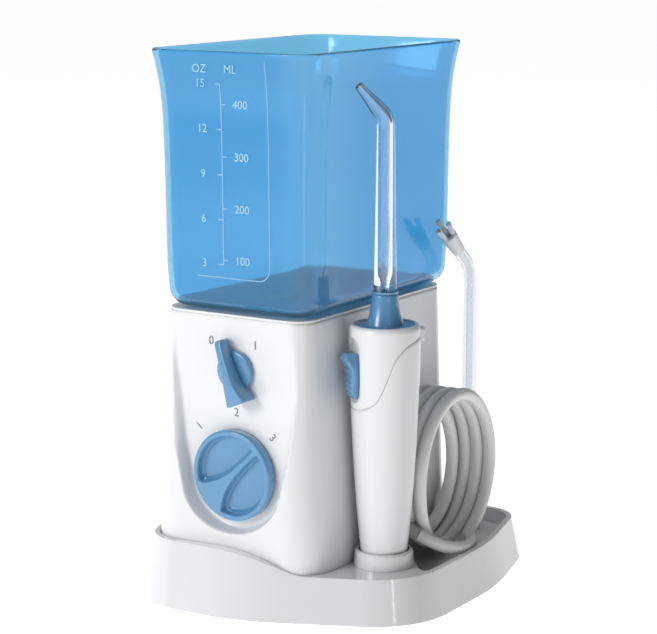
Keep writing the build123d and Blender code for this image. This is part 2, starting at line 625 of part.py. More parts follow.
VALVE_BACK = KNOB_BACK + 22.6       # rear face of the pressure valve
with BuildPart() as outlet_tube:
    tube([(GEAR_X + 9, PUMP_Y - 9, NIPPLE_Z), (8.6, -18.8, 95.8), (11.3, -19.2, 88.5), (12.4, -15.8, 78),
          (11.4, -13.4, 67), (6, -12.6, 58.2), (-3, -12.6, 54.4), (-9.8, -16.4, 53.2),
          (KNOB_X, -24.2, DIAL_Z + 0.1), (KNOB_X, VALVE_BACK, DIAL_Z)], 2.4, 1.4, report="outlet tube")
save(outlet_tube, "outlet_tube")

with BuildPart() as delivery_tube:
    tube([(KNOB_X + 7.4, -40.5, DIAL_Z), (1.5, -40.3, 52.4), (8.2, -37.6, 49.0), (12.6, -31.6, 43.8),
          (14.2, -24.2, 38.4), (14.4, -17.8, 34.6), (17.6, -14.2, 33.4)], 2.2, 1.3, report="delivery tube")
save(delivery_tube, "delivery_tube")

BOARD_X, BOARD_Y, BOARD_Z = -14, 42.0, 72
with BuildPart() as power_board:
    with BuildSketch(Plane.XZ.offset(-BOARD_Y)):
        with Locations((BOARD_X, BOARD_Z)):
            RectangleRounded(44, 34, 1.5)
            with GridLocations(38, 28, 2, 2):
                Circle(1.5, mode=Mode.SUBTRACT)
    extrude(amount=1.6)
    # transformer, capacitor and rectifier on the inner side
    with BuildSketch(Plane.XZ.offset(1.6 - BOARD_Y)):
        with Locations((BOARD_X - 8, BOARD_Z)):
            RectangleRounded(16, 18, 1)
        with Locations((BOARD_X + 9, BOARD_Z + 7)):
            Circle(5)
        with Locations((BOARD_X + 10, BOARD_Z - 7)):
            Rectangle(9, 5)
    extrude(amount=9)
save(power_board, "power_board")

with BuildPart() as board_clips:
    with Locations(*[(BOARD_X + sx * 19, BOARD_Y, BOARD_Z + sz * 14) for sx in (-1, 1) for sz in (-1, 1)]):
        Box(3.6, 5.2, 3.6, align=(Align.CENTER, Align.MIN, Align.CENTER))
save(board_clips, "board_clips")

GROMMET_X, GROMMET_Z = -30, 26
with BuildPart() as cord_inlet_grommet:
    with BuildSketch(front_plane(47.2, GROMMET_X, GROMMET_Z)):
        Circle(4.0)
    extrude(amount=-7.4)
    with BuildSketch(front_plane(47.2, GROMMET_X, GROMMET_Z)):
        Circle(5.6)
    extrude(amount=-2.2)
    with BuildSketch(front_plane(40, GROMMET_X, GROMMET_Z)):
        Circle(2.6)
    extrude(amount=-20, mode=Mode.SUBTRACT)
save(cord_inlet_grommet, "cord_inlet_grommet")

# ------------------------------------------------------------------ hose: relief, lead, coil and tail
RELIEF = [(22.0, -14.2, 33.4), (34.0, -12.0, 29.4), (41.0, -10.7, 26.6)]
RELIEF_R = [3.9, 3.0, 2.75]
with BuildPart() as hose_relief:
    for (a, b), (ra, rb) in zip(zip(RELIEF, RELIEF[1:]), zip(RELIEF_R, RELIEF_R[1:])):
        run = Vector(*b) - Vector(*a)
        with Locations(Plane(origin=a, z_dir=run.normalized())):
            Cone(ra, rb, run.length, align=STAND)
        with Locations(b):
            Sphere(rb)
    # flat end for the hose, flat base on the body, and a spigot through the body's wall
    end = Vector(*RELIEF[2])
    with Locations(Plane(origin=end, z_dir=(end - Vector(*RELIEF[1])).normalized())):
        Cylinder(4, 6, align=STAND, mode=Mode.SUBTRACT)
    split(bisect_by=Plane.YZ.offset(BODY_X + 35.9), keep=Keep.TOP)
    with BuildSketch(Plane.YZ.offset(17.6)):
        with Locations((RELIEF[0][1], RELIEF[0][2])):
            Circle(2.6)
    extrude(amount=6)
save(hose_relief, "hose_relief")

LEAD = [RELIEF[2], (44.9, -9.5, 24.7), (48.0, -5.4, 22.1), (49.6, 1.0, 19.9), (49.7, 8.7, 18.3),
        (48.2, 16.4, 17.3), (45.2, 23.5, 17.2), (41.9, 30.0, 19.2)]
with BuildPart() as hose_lead:
    tube(LEAD, HOSE_D / 2, report="hose lead")
save(hose_lead, "hose_lead")

with BuildPart() as hose_coil:
    half = HOSE_D / 2
    with BuildSketch(Plane.YZ.offset(COIL_X[-1] - half)):
        with Locations((COIL_Y, COIL_Z)):
            Ellipse(COIL_RY + half, COIL_RZ + half)
    extrude(amount=COIL_X[0] - COIL_X[-1] + HOSE_D)
    with BuildSketch(Plane.YZ.offset(COIL_X[-1] - half)):
        with Locations((NEST_Y, COIL_Z)):
            Ellipse(NEST_RY - half, NEST_RZ - half)
    extrude(amount=40, mode=Mode.SUBTRACT)
    # only the two turns nearest the body have another turn inside them
    with BuildSketch(Plane.YZ.offset(COIL_X[2] + half)):
        with Locations((COIL_Y, COIL_Z)):
            Ellipse(COIL_RY - half, COIL_RZ - half)
    extrude(amount=40, mode=Mode.SUBTRACT)
save(hose_coil, "hose_coil")

TAIL = [(26.05, -8.6, 39.5), (26.3, -6.2, 29.6), (27.5, -7.6, 20.2), (30.4, -14.4, 14.9),
        (HANDLE_X, HANDLE_Y, 14.85), (HANDLE_X, HANDLE_Y, 44.0)]
with BuildPart() as hose_tail:
    tube(TAIL, HOSE_D / 2, radii=[12, 9, 9, 5.2], report="hose tail")
save(hose_tail, "hose_tail")

# ------------------------------------------------------------------ handle
GRIP = [(8.3, HANDLE_Z0), (8.75, 23), (10.65, 44), (12.6, 78), (13.1, 96), (13.15, 104)]
SHELL = 2.4
EJECT_Z = 105.4                     # middle of the eject button

with BuildPart() as handle_blank:
    with BuildSketch(Plane.XZ):
        with BuildLine():
            side = Spline(*GRIP)
            Polyline(side @ 1, (13.15, HANDLE_Z1 - 1.6), (11.9, HANDLE_Z1), (11.2, HANDLE_Z1),
                     (11.2, HANDLE_Z1 - 1.4), (6.0 + RUNNING, HANDLE_Z1 - 1.4), (6.0 + RUNNING, 103.6),
                     (13.15 - SHELL, 103.6))
            inner = Spline((13.15 - SHELL, 103.6), (12.6 - SHELL, 78), (10.65 - SHELL, 44), (6.6, HANDLE_Z0))
            Line(inner @ 1, side @ 0)
        make_face()
    revolve(axis=Axis.Z)
handle_blank.part = handle_blank.part.moved(Location((HANDLE_X, HANDLE_Y, 0)))

with BuildPart() as handle_cuts:
    # hollow round the slide button, its slot, and the window of the eject button
    with BuildSketch(BUTTON_PLANE.offset(11.35)):
        with Locations((0, 93.1)):
            RectangleRounded(10.8, 23.8, 4.0)
    extrude(amount=8)
    with BuildSketch(BUTTON_PLANE.offset(5)):
        with Locations((0, 93)):
            Rectangle(4.0, 13.4)
    extrude(amount=8)
    with BuildSketch(BUTTON_PLANE.offset(-16)):
        with Locations((0, EJECT_Z)):
            RectangleRounded(8.0, 6.2, 1.4)
    extrude(amount=8.6)

with BuildPart() as head_region:
    with BuildSketch(SEAM_PLANE):
        with BuildLine():
            seam = Spline((-16, 77.8), (-11, 79.4), (-6.6, 83.4), (-3.5, 90.4), (-1.2, 96.6), (2.6, 101.7),
                          (8.4, 104.5), (16, 105.3), tangents=[(1, 0.25), (1, 0.05)])
            Polyline(seam @ 1, (16, 120), (-16, 120), seam @ 0)
        make_face()
    extrude(amount=20, both=True)

with BuildPart() as handle_head_shell:
    add(handle_blank.part)
    add(head_region.part, mode=Mode.INTERSECT)
    add(handle_cuts.part, mode=Mode.SUBTRACT)
save(handle_head_shell, "handle_head_shell")

with BuildPart() as handle_grip_shell:
    add(handle_blank.part)
    add(head_region.part, mode=Mode.SUBTRACT)
    add(handle_cuts.part, mode=Mode.SUBTRACT)
save(handle_grip_shell, "handle_grip_shell")

with BuildPart() as handle_inner_tube:
    with BuildSketch(Plane.XZ):
        with BuildLine():
            Polyline((1.6, 50), (2.4, 50), (2.4, 56), (8.6, 57), (8.6, 59), (3.2, 60), (3.2, 83), (1.6, 83),
                     close=True)
        make_face()
    revolve(axis=Axis.Z)
handle_inner_tube.part = handle_inner_tube.part.moved(Location((HANDLE_X, HANDLE_Y, 0)))
save(handle_inner_tube, "handle_inner_tube")

with BuildPart() as pause_valve_body:
    with Locations((HANDLE_X, HANDLE_Y, 83)):
        Cylinder(6.4, 16.6, align=STAND)
        Cylinder(1.6, 16.6, align=STAND, mode=Mode.SUBTRACT)
    # chamber for the shuttle, open towards the slide button
    with BuildSketch(BUTTON_PLANE.offset(2.4)):
        with Locations((0, 92.2)):
            Rectangle(4.0, 13.0)
    extrude(amount=8, mode=Mode.SUBTRACT)
save(pause_valve_body, "pause_valve_body")

with BuildPart() as pause_button:
    # side profile: hooked top, ridged thumb face, rounded lower end
    with BuildSketch(Plane(origin=(HANDLE_X, HANDLE_Y, 0), x_dir=(*FACING, 0),
                           z_dir=(FACING[1], -FACING[0], 0))):
        with BuildLine():
            face = Spline((13.0, 82.6), (14.5, 85.4), (14.6, 91.2), (15.2, 94.8), (16.4, 97.7),
                          tangents=[(1, 0.5), (0.6, 1)])
            top = ThreePointArc(face @ 1, (16.4, 99.2), (15.2, 99.5))
            Polyline(top @ 1, (12.0, 98.6), (11.7, 97.4), (11.7, 83.4), face @ 0)
        make_face()
        with Locations((14.9, 84.9), (15.05, 87.1), (15.05, 89.3), (15.1, 91.5), (15.4, 93.7)):
            Circle(0.75, mode=Mode.SUBTRACT)
    extrude(amount=4.2, both=True)
    # neck through the shell
    with BuildSketch(BUTTON_PLANE.offset(6.8)):
        with Locations((0, 90.4)):
            Rectangle(3.2, 7.2)
    extrude(amount=5.4)
save(pause_button, "pause_button")

with BuildPart() as pause_shuttle:
    with BuildSketch(BUTTON_PLANE.offset(2.8)):
        with Locations((0, 90.4)):
            Rectangle(3.2, 7.2)
    extrude(amount=4.0)
save(pause_shuttle, "pause_shuttle")

with BuildPart() as tip_eject_button:
    with BuildSketch(BUTTON_PLANE.offset(-14.3)):
        with Locations((0, EJECT_Z)):
            RectangleRounded(7.2, 5.4, 1.0)
    extrude(amount=2.7)
    with BuildSketch(BUTTON_PLANE.offset(-12.0)):
        with Locations((0, EJECT_Z)):
            Rectangle(5.0, 1.6)
    extrude(amount=3.0)
save(tip_eject_button, "tip_eject_button")

# ------------------------------------------------------------------ tip rotator and jet tip
CONE_Z0, CONE_Z1 = HANDLE_Z1 + 0.2, 121.0
TIP_R, TIP_BORE = 2.4, 0.95
with BuildPart() as tip_rotator:
    with BuildSketch(Plane.XZ):
        with BuildLine():
            Polyline((TIP_R + RUNNING, 100.4), (6.0, 100.4), (6.0, 101.5), (4.9, 101.5), (4.9, 102.9),
                     (6.0, 102.9), (6.0, 105.2), (4.9, 105.2), (4.9, 106.6), (6.0, 106.6),
                     (6.0, HANDLE_Z1 - 1.0), (10.8, HANDLE_Z1 - 1.0), (10.8, HANDLE_Z1 - 0.3),
                     (6.6, HANDLE_Z1 - 0.3), (6.6, CONE_Z0 + 0.4), (5.6, 116), (4.9, CONE_Z1 - 0.5),
                     (4.5, CONE_Z1), (TIP_R + RUNNING, CONE_Z1), close=True)
        make_face()
    revolve(axis=Axis.Z)
tip_rotator.part = tip_rotator.part.moved(Location((HANDLE_X, HANDLE_Y, 0)))
save(tip_rotator, "tip_rotator")

with BuildPart() as rotator_clip:
    with Locations((HANDLE_X, HANDLE_Y, 101.55)):
        Cylinder(7.4, 1.3, align=STAND)
        Cylinder(4.95, 1.3, align=STAND, mode=Mode.SUBTRACT)
save(rotator_clip, "rotator_clip")

with BuildPart() as rotator_o_ring:
    with Locations((HANDLE_X, HANDLE_Y, 105.9)):
        Torus(5.45, 0.55)
save(rotator_o_ring, "rotator_o_ring")

BEND_Z, REACH, OUTLET_Z = 185.2, 10.6, 197.2


def tip_shape(name, foot, bend, outlet, radii, bore, shank=None):
    """A tube with a tapered, angled head and a bore right through; the foot may be a thinner shank."""
    foot, bend, outlet = Vector(*foot), Vector(*bend), Vector(*outlet)
    head = outlet - bend
    bores = (bore, 0.9 * bore, 0.4)
    runs = [(Plane(origin=foot), (bend - foot).length, 0),
            (Plane(origin=bend, z_dir=head.normalized()), head.length, 1)]
    with BuildPart() as tip:
        for sizes, mode in ((radii, Mode.ADD), (bores, Mode.SUBTRACT)):
            for place, length, index in runs:
                with Locations(place):
                    Cone(sizes[index], sizes[index + 1], length, align=STAND, mode=mode)
            with Locations(bend):
                Sphere(sizes[1], mode=mode)
        if shank:
            with Locations(foot):
                Cylinder(shank[0], shank[1], align=HANG)
                Cylinder(bore, shank[1], align=HANG, mode=Mode.SUBTRACT)
    save(tip, name)


# the tube is wider than its shank, which passes through the tip's ring and down into the rotator
TUBE_Z = CONE_Z1 + 1.0
tip_shape("jet_tip", (HANDLE_X, HANDLE_Y, TUBE_Z), (HANDLE_X, HANDLE_Y, BEND_Z),
          (HANDLE_X + REACH * FACING[0], HANDLE_Y + REACH * FACING[1], OUTLET_Z),
          (4.3, 3.3, 1.4), TIP_BORE, shank=(TIP_R, TUBE_Z - 101.0))

with BuildPart() as jet_tip_ring:
    with Locations((HANDLE_X, HANDLE_Y, CONE_Z1 + 0.1)):
        Cylinder(4.7, 0.85, align=STAND)
        Cylinder(TIP_R, 0.85, align=STAND, mode=Mode.SUBTRACT)
save(jet_tip_ring, "jet_tip_ring")

# ------------------------------------------------------------------ spare tip on its post
SPARE_BEND, SPARE_END = (SPARE_X, SPARE_Y, 119.0), (SPARE_X - 0.4, SPARE_Y - 11.0, 128.8)
COLLAR_L = 8.6
tip_shape("spare_tip_tube", (SPARE_X, SPARE_Y, 49.2), SPARE_BEND, SPARE_END, (3.15, 2.6, 2.3), 1.2)
SPARE_HEAD = Plane(origin=SPARE_END, z_dir=(Vector(*SPARE_END) - Vector(*SPARE_BEND)).normalized())

# the collar grips the end of the tube and widens towards the bristles
with BuildPart() as spare_tip_collar:
    with Locations(SPARE_HEAD):
        Cone(2.7, 3.3, COLLAR_L, align=STAND)
    with Locations(SPARE_HEAD.offset(-2.0)):
        Cylinder(2.7, 2.0, align=STAND)
        Cone(2.36, 2.3, 2.0, align=STAND, mode=Mode.SUBTRACT)
    with Locations(SPARE_HEAD):
        Cylinder(1.2, COLLAR_L, align=STAND, mode=Mode.SUBTRACT)
save(spare_tip_collar, "spare_tip_collar")

with BuildPart() as spare_tip_bristles:
    with Locations(SPARE_HEAD.offset(COLLAR_L)):
        with PolarLocations(2.1, 3):
            Cone(0.95, 1.2, 6.8, align=STAND)
save(spare_tip_bristles, "spare_tip_bristles")
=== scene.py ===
"""Looks of a countertop water flosser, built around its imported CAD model.

Metres, +Z up; the controls face -Y and the handle stands on the +X side. Shapes are written in
millimetres and scaled once, when their mesh is made.
"""

import json
from math import atan2, cos, pi, radians, sin, sqrt, tan

import bmesh
import bpy
import numpy as np
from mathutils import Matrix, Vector


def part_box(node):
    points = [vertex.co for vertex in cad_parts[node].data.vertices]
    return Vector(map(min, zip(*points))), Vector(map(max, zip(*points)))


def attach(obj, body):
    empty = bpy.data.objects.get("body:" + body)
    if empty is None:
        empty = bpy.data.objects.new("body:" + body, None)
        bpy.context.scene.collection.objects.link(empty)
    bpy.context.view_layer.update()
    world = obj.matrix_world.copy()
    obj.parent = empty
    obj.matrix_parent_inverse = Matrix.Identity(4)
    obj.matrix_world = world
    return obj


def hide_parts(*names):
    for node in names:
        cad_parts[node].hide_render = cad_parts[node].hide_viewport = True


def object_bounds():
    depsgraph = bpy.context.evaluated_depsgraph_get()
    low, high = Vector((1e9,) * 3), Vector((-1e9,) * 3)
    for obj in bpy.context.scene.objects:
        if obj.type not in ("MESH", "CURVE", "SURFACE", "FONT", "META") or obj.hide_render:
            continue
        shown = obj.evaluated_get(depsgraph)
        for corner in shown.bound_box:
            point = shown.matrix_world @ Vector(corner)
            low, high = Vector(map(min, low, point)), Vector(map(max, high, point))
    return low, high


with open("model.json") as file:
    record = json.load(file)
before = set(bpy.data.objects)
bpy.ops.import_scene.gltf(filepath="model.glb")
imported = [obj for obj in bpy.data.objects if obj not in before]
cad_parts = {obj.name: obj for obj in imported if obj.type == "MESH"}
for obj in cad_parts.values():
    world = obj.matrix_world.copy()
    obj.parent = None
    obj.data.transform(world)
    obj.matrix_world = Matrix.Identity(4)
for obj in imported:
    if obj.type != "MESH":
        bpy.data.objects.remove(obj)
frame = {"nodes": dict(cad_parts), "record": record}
cad_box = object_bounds()

MM = 0.001
BLUE = (0.110, 0.295, 0.515)


# ------------------------------------------------------------------ helpers: places
def metres(point):
    """A point written in millimetres, in metres."""
    return tuple(value * MM for value in point)


def node_box(node):
    """A node's lowest and highest corners in millimetres."""
    low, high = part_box(node)
    return [v / MM for v in low], [v / MM for v in high]


def unit(vector):
    """The vector at length 1."""
    return vector / np.linalg.norm(vector)


def smooth_step(a, b, x):
    """0 below a, 1 above b, and smooth between."""
    t = np.clip((np.asarray(x, float) - a) / (b - a), 0, 1)
    return t * t * (3 - 2 * t)


# ------------------------------------------------------------------ camera
def make_camera():
    """The camera, looking at the object from the front right and a little above. The
    camera at the angle from which the object is compared.
    """
    data = bpy.data.cameras.new("camera")
    data.sensor_width = 36
    data.lens = 116.92
    camera = bpy.data.objects.new("camera", data)
    bpy.context.scene.collection.objects.link(camera)
    place = Vector(metres((430.66, -685.24, 257.45)))
    target = Vector(metres((-8.16, 2.70, 103.47)))
    camera.location = place
    camera.rotation_euler = (target - place).to_track_quat("-Z", "Y").to_euler()
    data.clip_start = 0.02
    data.clip_end = 20
    bpy.context.scene.camera = camera


make_camera()


# ------------------------------------------------------------------ materials
def new_material(name, color, roughness):
    """A Principled material with its colour and roughness; returns it with its tree and shader."""
    material = bpy.data.materials.new(name)
    material.use_nodes = True
    tree = material.node_tree
    shader = tree.nodes["Principled BSDF"]
    shader.inputs["Base Color"].default_value = (*color, 1)
    shader.inputs["Roughness"].default_value = roughness
    return material, tree, shader


def noise_node(tree, scale, detail=2.0, stretch=(1, 1, 1)):
    """Noise in object space, in features per metre, drawn out along the axes by stretch."""
    place = tree.nodes.new("ShaderNodeTexCoord")
    mapping = tree.nodes.new("ShaderNodeMapping")
    mapping.inputs["Scale"].default_value = stretch
    texture = tree.nodes.new("ShaderNodeTexNoise")
    texture.inputs["Scale"].default_value = scale
    texture.inputs["Detail"].default_value = detail
    tree.links.new(place.outputs["Object"], mapping.inputs["Vector"])
    tree.links.new(mapping.outputs["Vector"], texture.inputs["Vector"])
    return texture.outputs["Fac"]


def ramp(tree, source, low, high):
    """Map 0..1 to low..high."""
    node = tree.nodes.new("ShaderNodeMapRange")
    node.inputs["From Min"].default_value = 0.3
    node.inputs["From Max"].default_value = 0.7
    node.inputs["To Min"].default_value = low
    node.inputs["To Max"].default_value = high
    tree.links.new(source, node.inputs["Value"])
    return node.outputs["Result"]


def tint(tree, shader, source, first, second):
    """Vary the colour between two near tones."""
    mix = tree.nodes.new("ShaderNodeMix")
    mix.data_type = "RGBA"
    mix.inputs["A"].default_value = (*first, 1)
    mix.inputs["B"].default_value = (*second, 1)
    tree.links.new(source, mix.inputs["Factor"])
    tree.links.new(mix.outputs["Result"], shader.inputs["Base Color"])


def bump(tree, shader, layers, edge=0.0):
    """Stack bump layers of (source, depth in metres, strength); edge is a radius that softens corners."""
    normal = None
    if edge:
        bevel = tree.nodes.new("ShaderNodeBevel")
        bevel.samples = 6
        bevel.inputs["Radius"].default_value = edge
        normal = bevel.outputs["Normal"]
    for source, depth, strength in layers:
        node = tree.nodes.new("ShaderNodeBump")
        node.inputs["Distance"].default_value = depth
        node.inputs["Strength"].default_value = strength
        tree.links.new(source, node.inputs["Height"])
        if normal:
            tree.links.new(normal, node.inputs["Normal"])
        normal = node.outputs["Normal"]
    tree.links.new(normal, shader.inputs["Normal"])


def moulded(name, color, roughness, grain=0.12, coat=0.0, edge=0.0):
    """Injection-moulded plastic: a faint flow tint, a slightly uneven gloss and a fine moulded skin."""
    unevenness = 0.015
    material, tree, shader = new_material(name, color, roughness)
    darker = tuple(c * 0.985 for c in color)
    tint(tree, shader, noise_node(tree, 14), color, darker)
    gloss = ramp(tree, noise_node(tree, 140, 3.0), roughness - unevenness, roughness + unevenness)
    tree.links.new(gloss, shader.inputs["Roughness"])
    waves = (noise_node(tree, 30, 1.0), 0.0002, 0.02)
    skin = (noise_node(tree, 2600), 0.00003, grain)
    bump(tree, shader, [waves, skin], edge)
    shader.inputs["Coat Weight"].default_value = coat
    shader.inputs["Coat Roughness"].default_value = 0.06
    return material


def clear(name, color, roughness, ior, weight=1.0, ripple=0.04, painted_highlight=None, coat=0.0):
    """Clear moulding: refracts, and its skin has the long faint ripples of a polished tool.

    Towards the front right corner the colour turns to a lighter tone: a painted highlight, standing in for
    the sheen of reflected light on that corner.
    """
    material, tree, shader = new_material(name, color, roughness)
    # painted highlight: a lighter tone towards the front right corner, where reflected light brightens the
    # tank
    if painted_highlight:
        place = tree.nodes.new("ShaderNodeTexCoord")
        split = tree.nodes.new("ShaderNodeSeparateXYZ")
        tree.links.new(place.outputs["Object"], split.inputs["Vector"])
        shares = []
        for axis, start, full in (("X", 9 * MM, 18 * MM), ("Y", 0.0, -48 * MM)):
            share = tree.nodes.new("ShaderNodeMapRange")
            share.inputs["From Min"].default_value = start
            share.inputs["From Max"].default_value = full
            tree.links.new(split.outputs[axis], share.inputs["Value"])
            shares.append(share.outputs["Result"])
        both = tree.nodes.new("ShaderNodeMath")
        both.operation = "MULTIPLY"
        tree.links.new(shares[0], both.inputs[0])
        tree.links.new(shares[1], both.inputs[1])
        tint(tree, shader, both.outputs["Value"], color, painted_highlight)
    shader.inputs["Transmission Weight"].default_value = weight
    shader.inputs["IOR"].default_value = ior
    shader.inputs["Coat Weight"].default_value = coat
    shader.inputs["Coat Roughness"].default_value = 0.03
    gloss = ramp(tree, noise_node(tree, 90), roughness * 0.7, roughness * 1.3)
    tree.links.new(gloss, shader.inputs["Roughness"])
    bump(tree, shader, [(noise_node(tree, 70, 1.0, (1, 1, 0.25)), 0.0006, ripple)])
    return material


def metal(name, color, roughness):
    """Turned or drawn metal with fine drag lines."""
    material, tree, shader = new_material(name, color, roughness)
    shader.inputs["Metallic"].default_value = 1.0
    lines = noise_node(tree, 900, stretch=(1, 1, 8))
    tint(tree, shader, lines, color, tuple(c * 0.8 for c in color))
    tree.links.new(ramp(tree, lines, roughness * 0.8, roughness * 1.25), shader.inputs["Roughness"])
    bump(tree, shader, [(lines, 0.00004, 0.3)], 0.0002)
    return material


MATERIALS = {
    "white_shell": moulded("shell_white", (0.80, 0.805, 0.825), 0.24, coat=0.4, edge=0.0005),
    "white_tray": moulded("tray_white", (0.78, 0.785, 0.805), 0.17, coat=0.6, edge=0.0006),
    "blue_knob": moulded("control_blue", BLUE, 0.25, coat=0.5, grain=0.2, edge=0.0004),
    # the tank's lighter front right corner is a painted highlight
    "blue_tank": clear("tank_blue", (0.21, 0.60, 0.885), 0.05, 1.28, weight=0.88, ripple=0.06,
                       painted_highlight=(0.45, 0.76, 0.96), coat=0.3),
    "clear_tip": clear("tip_clear", (0.93, 0.96, 0.99), 0.02, 1.49),
    "bristle_frost": moulded("bristle_frost", (0.66, 0.74, 0.82), 0.25, coat=0.5),
    "clear_smoke": clear("spare_clear", (0.76, 0.79, 0.82), 0.03, 1.49),
    "tip_collar": moulded("collar_white", (0.80, 0.81, 0.82), 0.4, edge=0.0003),
    "hose_grey": moulded("hose_pvc", (0.80, 0.802, 0.80), 0.30, coat=0.25, grain=0.1),
    "relief_grey": moulded("relief_pvc", (0.42, 0.42, 0.415), 0.42, grain=0.3, edge=0.0004),
    "rubber_black": moulded("seal_rubber", (0.03, 0.03, 0.032), 0.62, grain=0.5, edge=0.0002),
    "steel": metal("zinc_steel", (0.55, 0.56, 0.58), 0.32),
    "brass": metal("pinion_brass", (0.70, 0.52, 0.24), 0.3),
    "inner_plastic": moulded("natural_acetal", (0.70, 0.70, 0.67), 0.45, grain=0.3, edge=0.0003),
    "dark_plastic": moulded("switch_black", (0.035, 0.035, 0.038), 0.4, grain=0.4, edge=0.0003),
    "board_green": moulded("board_mask", (0.05, 0.17, 0.08), 0.35, grain=0.3, edge=0.0002),
    "inner_tube": moulded("silicone_tube", (0.62, 0.65, 0.63), 0.38, grain=0.1),
    "mark_grey": moulded("mark_grey", (0.20, 0.195, 0.20), 0.45, grain=0.1),
    "scale_frost": moulded("scale_frost", (0.34, 0.62, 0.84), 0.5, grain=0.6),
}


def dress_nodes():
    """Give every CAD node the finish of its material slot."""
    slots = {part["node"]: part["material_slot"] for part in frame["record"]["subparts"]}
    for name, obj in frame["nodes"].items():
        material = MATERIALS[slots[name]]
        if not obj.material_slots:
            obj.data.materials.append(material)
        for place in obj.material_slots:
            place.material = material


dress_nodes()


# ------------------------------------------------------------------ helpers: pieces
def place_piece(obj, material, body, replaces=()):
    """Link a piece, give it its material and tie it to its body."""
    bpy.context.scene.collection.objects.link(obj)
    obj.data.materials.clear()
    obj.data.materials.append(MATERIALS[material])
    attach(obj, body)
    if replaces:
        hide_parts(*replaces)
    return obj


# ------------------------------------------------------------------ hose
HOSE_D = 4.9
RELIEF_END = (41.0, -10.7, 26.6)
LEAD = [RELIEF_END, (44.9, -9.5, 24.7), (48.0, -5.4, 22.1), (49.6, 1.0, 19.9), (49.7, 8.7, 18.3),
        (48.2, 16.4, 17.3), (45.2, 23.5, 17.2)]
TAIL = [(26.3, -6.2, 29.6), (27.5, -7.6, 20.2), (30.4, -14.4, 14.9), (34.1, -24.9, 14.85),
        (34.1, -24.9, 44.0)]
COIL_Z = 45.8
# each turn's plane, the middle of its depth, its half depth and its half height
TURNS = [(40.9, 17.6, 27.8, 30.1), (35.95, 17.2, 27.3, 29.9), (31.0, 16.7, 26.7, 30.0),
         (28.5, 15.9, 21.2, 25.2), (26.05, 16.2, 26.2, 30.0)]
COIL_START, COIL_END = 20.0, 282.0  # angles from the bottom, rising at the rear
CROSSING = (242.0, 372.0)           # where a turn moves over, in degrees after its start


def coil_points():
    """Oval turns; each moves over to the next as it passes under, from the front to the rear."""
    per_turn = 18
    last = COIL_END + 360 * (len(TURNS) - 1)
    count = round((last - COIL_START) / 360 * per_turn)
    points = []
    for i in range(count + 1):
        angle = COIL_START + (last - COIL_START) * i / count
        turn, phase = divmod(angle - COIL_START, 360)
        here = np.array(TURNS[int(turn)])
        after = np.array(TURNS[min(int(turn) + 1, len(TURNS) - 1)])
        x, middle, depth, height = here + (after - here) * float(smooth_step(*CROSSING, phase))
        points.append((x, middle + depth * sin(radians(angle)), COIL_Z - height * cos(radians(angle))))
    return points


def make_hose():
    """One hose from the strain relief through the coil into the handle's foot."""
    points = LEAD + coil_points() + TAIL
    curve = bpy.data.curves.new("hose", "CURVE")
    curve.dimensions = "3D"
    spline = curve.splines.new("NURBS")
    spline.points.add(len(points) - 1)
    for target, point in zip(spline.points, points):
        target.co = (*metres(point), 1)
    spline.order_u = 3
    spline.use_endpoint_u = True
    spline.resolution_u = 8
    curve.bevel_depth = HOSE_D / 2 * MM
    curve.bevel_resolution = 7
    curve.use_fill_caps = True
    hose = bpy.data.objects.new("hose", curve)
    place_piece(hose, "hose_grey", "base", ("hose_lead", "hose_coil", "hose_tail"))


make_hose()


# ------------------------------------------------------------------ helpers: shapes
def smooth_curve(xs, ys):
    """A smooth curve through points: cubic pieces that share their slopes."""
    xs, ys = np.asarray(xs, float), np.asarray(ys, float)
    slopes = np.gradient(ys, xs)

    def value(x):
        x = np.clip(x, xs[0], xs[-1])
        i = np.clip(np.searchsorted(xs, x) - 1, 0, len(xs) - 2)
        span = xs[i + 1] - xs[i]
        t = (x - xs[i]) / span
        return (ys[i] * (1 + 2 * t) * (1 - t) ** 2 + slopes[i] * span * t * (1 - t) ** 2
                + ys[i + 1] * t * t * (3 - 2 * t) + slopes[i + 1] * span * t * t * (t - 1))
    return value


def smooth_max(a, b, blend):
    """The larger of a and b, rounded over where they are close."""
    return (a + b + np.sqrt((a - b) ** 2 + blend ** 2)) / 2


def grid_object(name, rows, wrap=False):
    """A smooth mesh over rows of points in millimetres. Each row is a closed loop.

    The first and last rows are filled, unless wrap joins them.
    """
    rows = np.asarray(rows, float)
    count, width = rows.shape[:2]
    here = np.arange(width)
    after = (here + 1) % width
    faces = []
    for i in range(count if wrap else count - 1):
        low, high = i * width, (i + 1) % count * width
        faces += np.stack([low + here, low + after, high + after, high + here], axis=1).tolist()
    if not wrap:
        faces += [here[::-1].tolist(), ((count - 1) * width + here).tolist()]
    mesh = bpy.data.meshes.new(name)
    mesh.from_pydata((rows.reshape(-1, 3) * MM).tolist(), [], faces)
    work = bmesh.new()
    work.from_mesh(mesh)
    bmesh.ops.recalc_face_normals(work, faces=work.faces)
    work.to_mesh(mesh)
    work.free()
    mesh.polygons.foreach_set("use_smooth", [True] * len(mesh.polygons))
    return bpy.data.objects.new(name, mesh)


def rounded_loop(corners, radius, corner_steps, side_steps):
    """Points round a convex outline with rounded corners, in (x, y)."""
    corners = [np.array(c, float) for c in corners]
    arcs = []
    for before, here, after in zip(corners[-1:] + corners[:-1], corners, corners[1:] + corners[:1]):
        come, go = unit(here - before), unit(after - here)
        turn = atan2(come[0] * go[1] - come[1] * go[0], come @ go)
        centre = here - come * radius * tan(turn / 2) + np.array([-come[1], come[0]]) * radius
        first = atan2(-come[0], come[1])
        angles = first + turn * np.linspace(0, 1, corner_steps + 1)
        arcs.append(centre + radius * np.stack([np.cos(angles), np.sin(angles)], axis=1))
    points = []
    for arc, following, steps in zip(arcs, arcs[1:] + arcs[:1], side_steps):
        share = np.linspace(0, 1, steps + 1)[1:-1, None]
        points += [arc, arc[-1] * (1 - share) + following[0] * share]
    return np.concatenate(points)


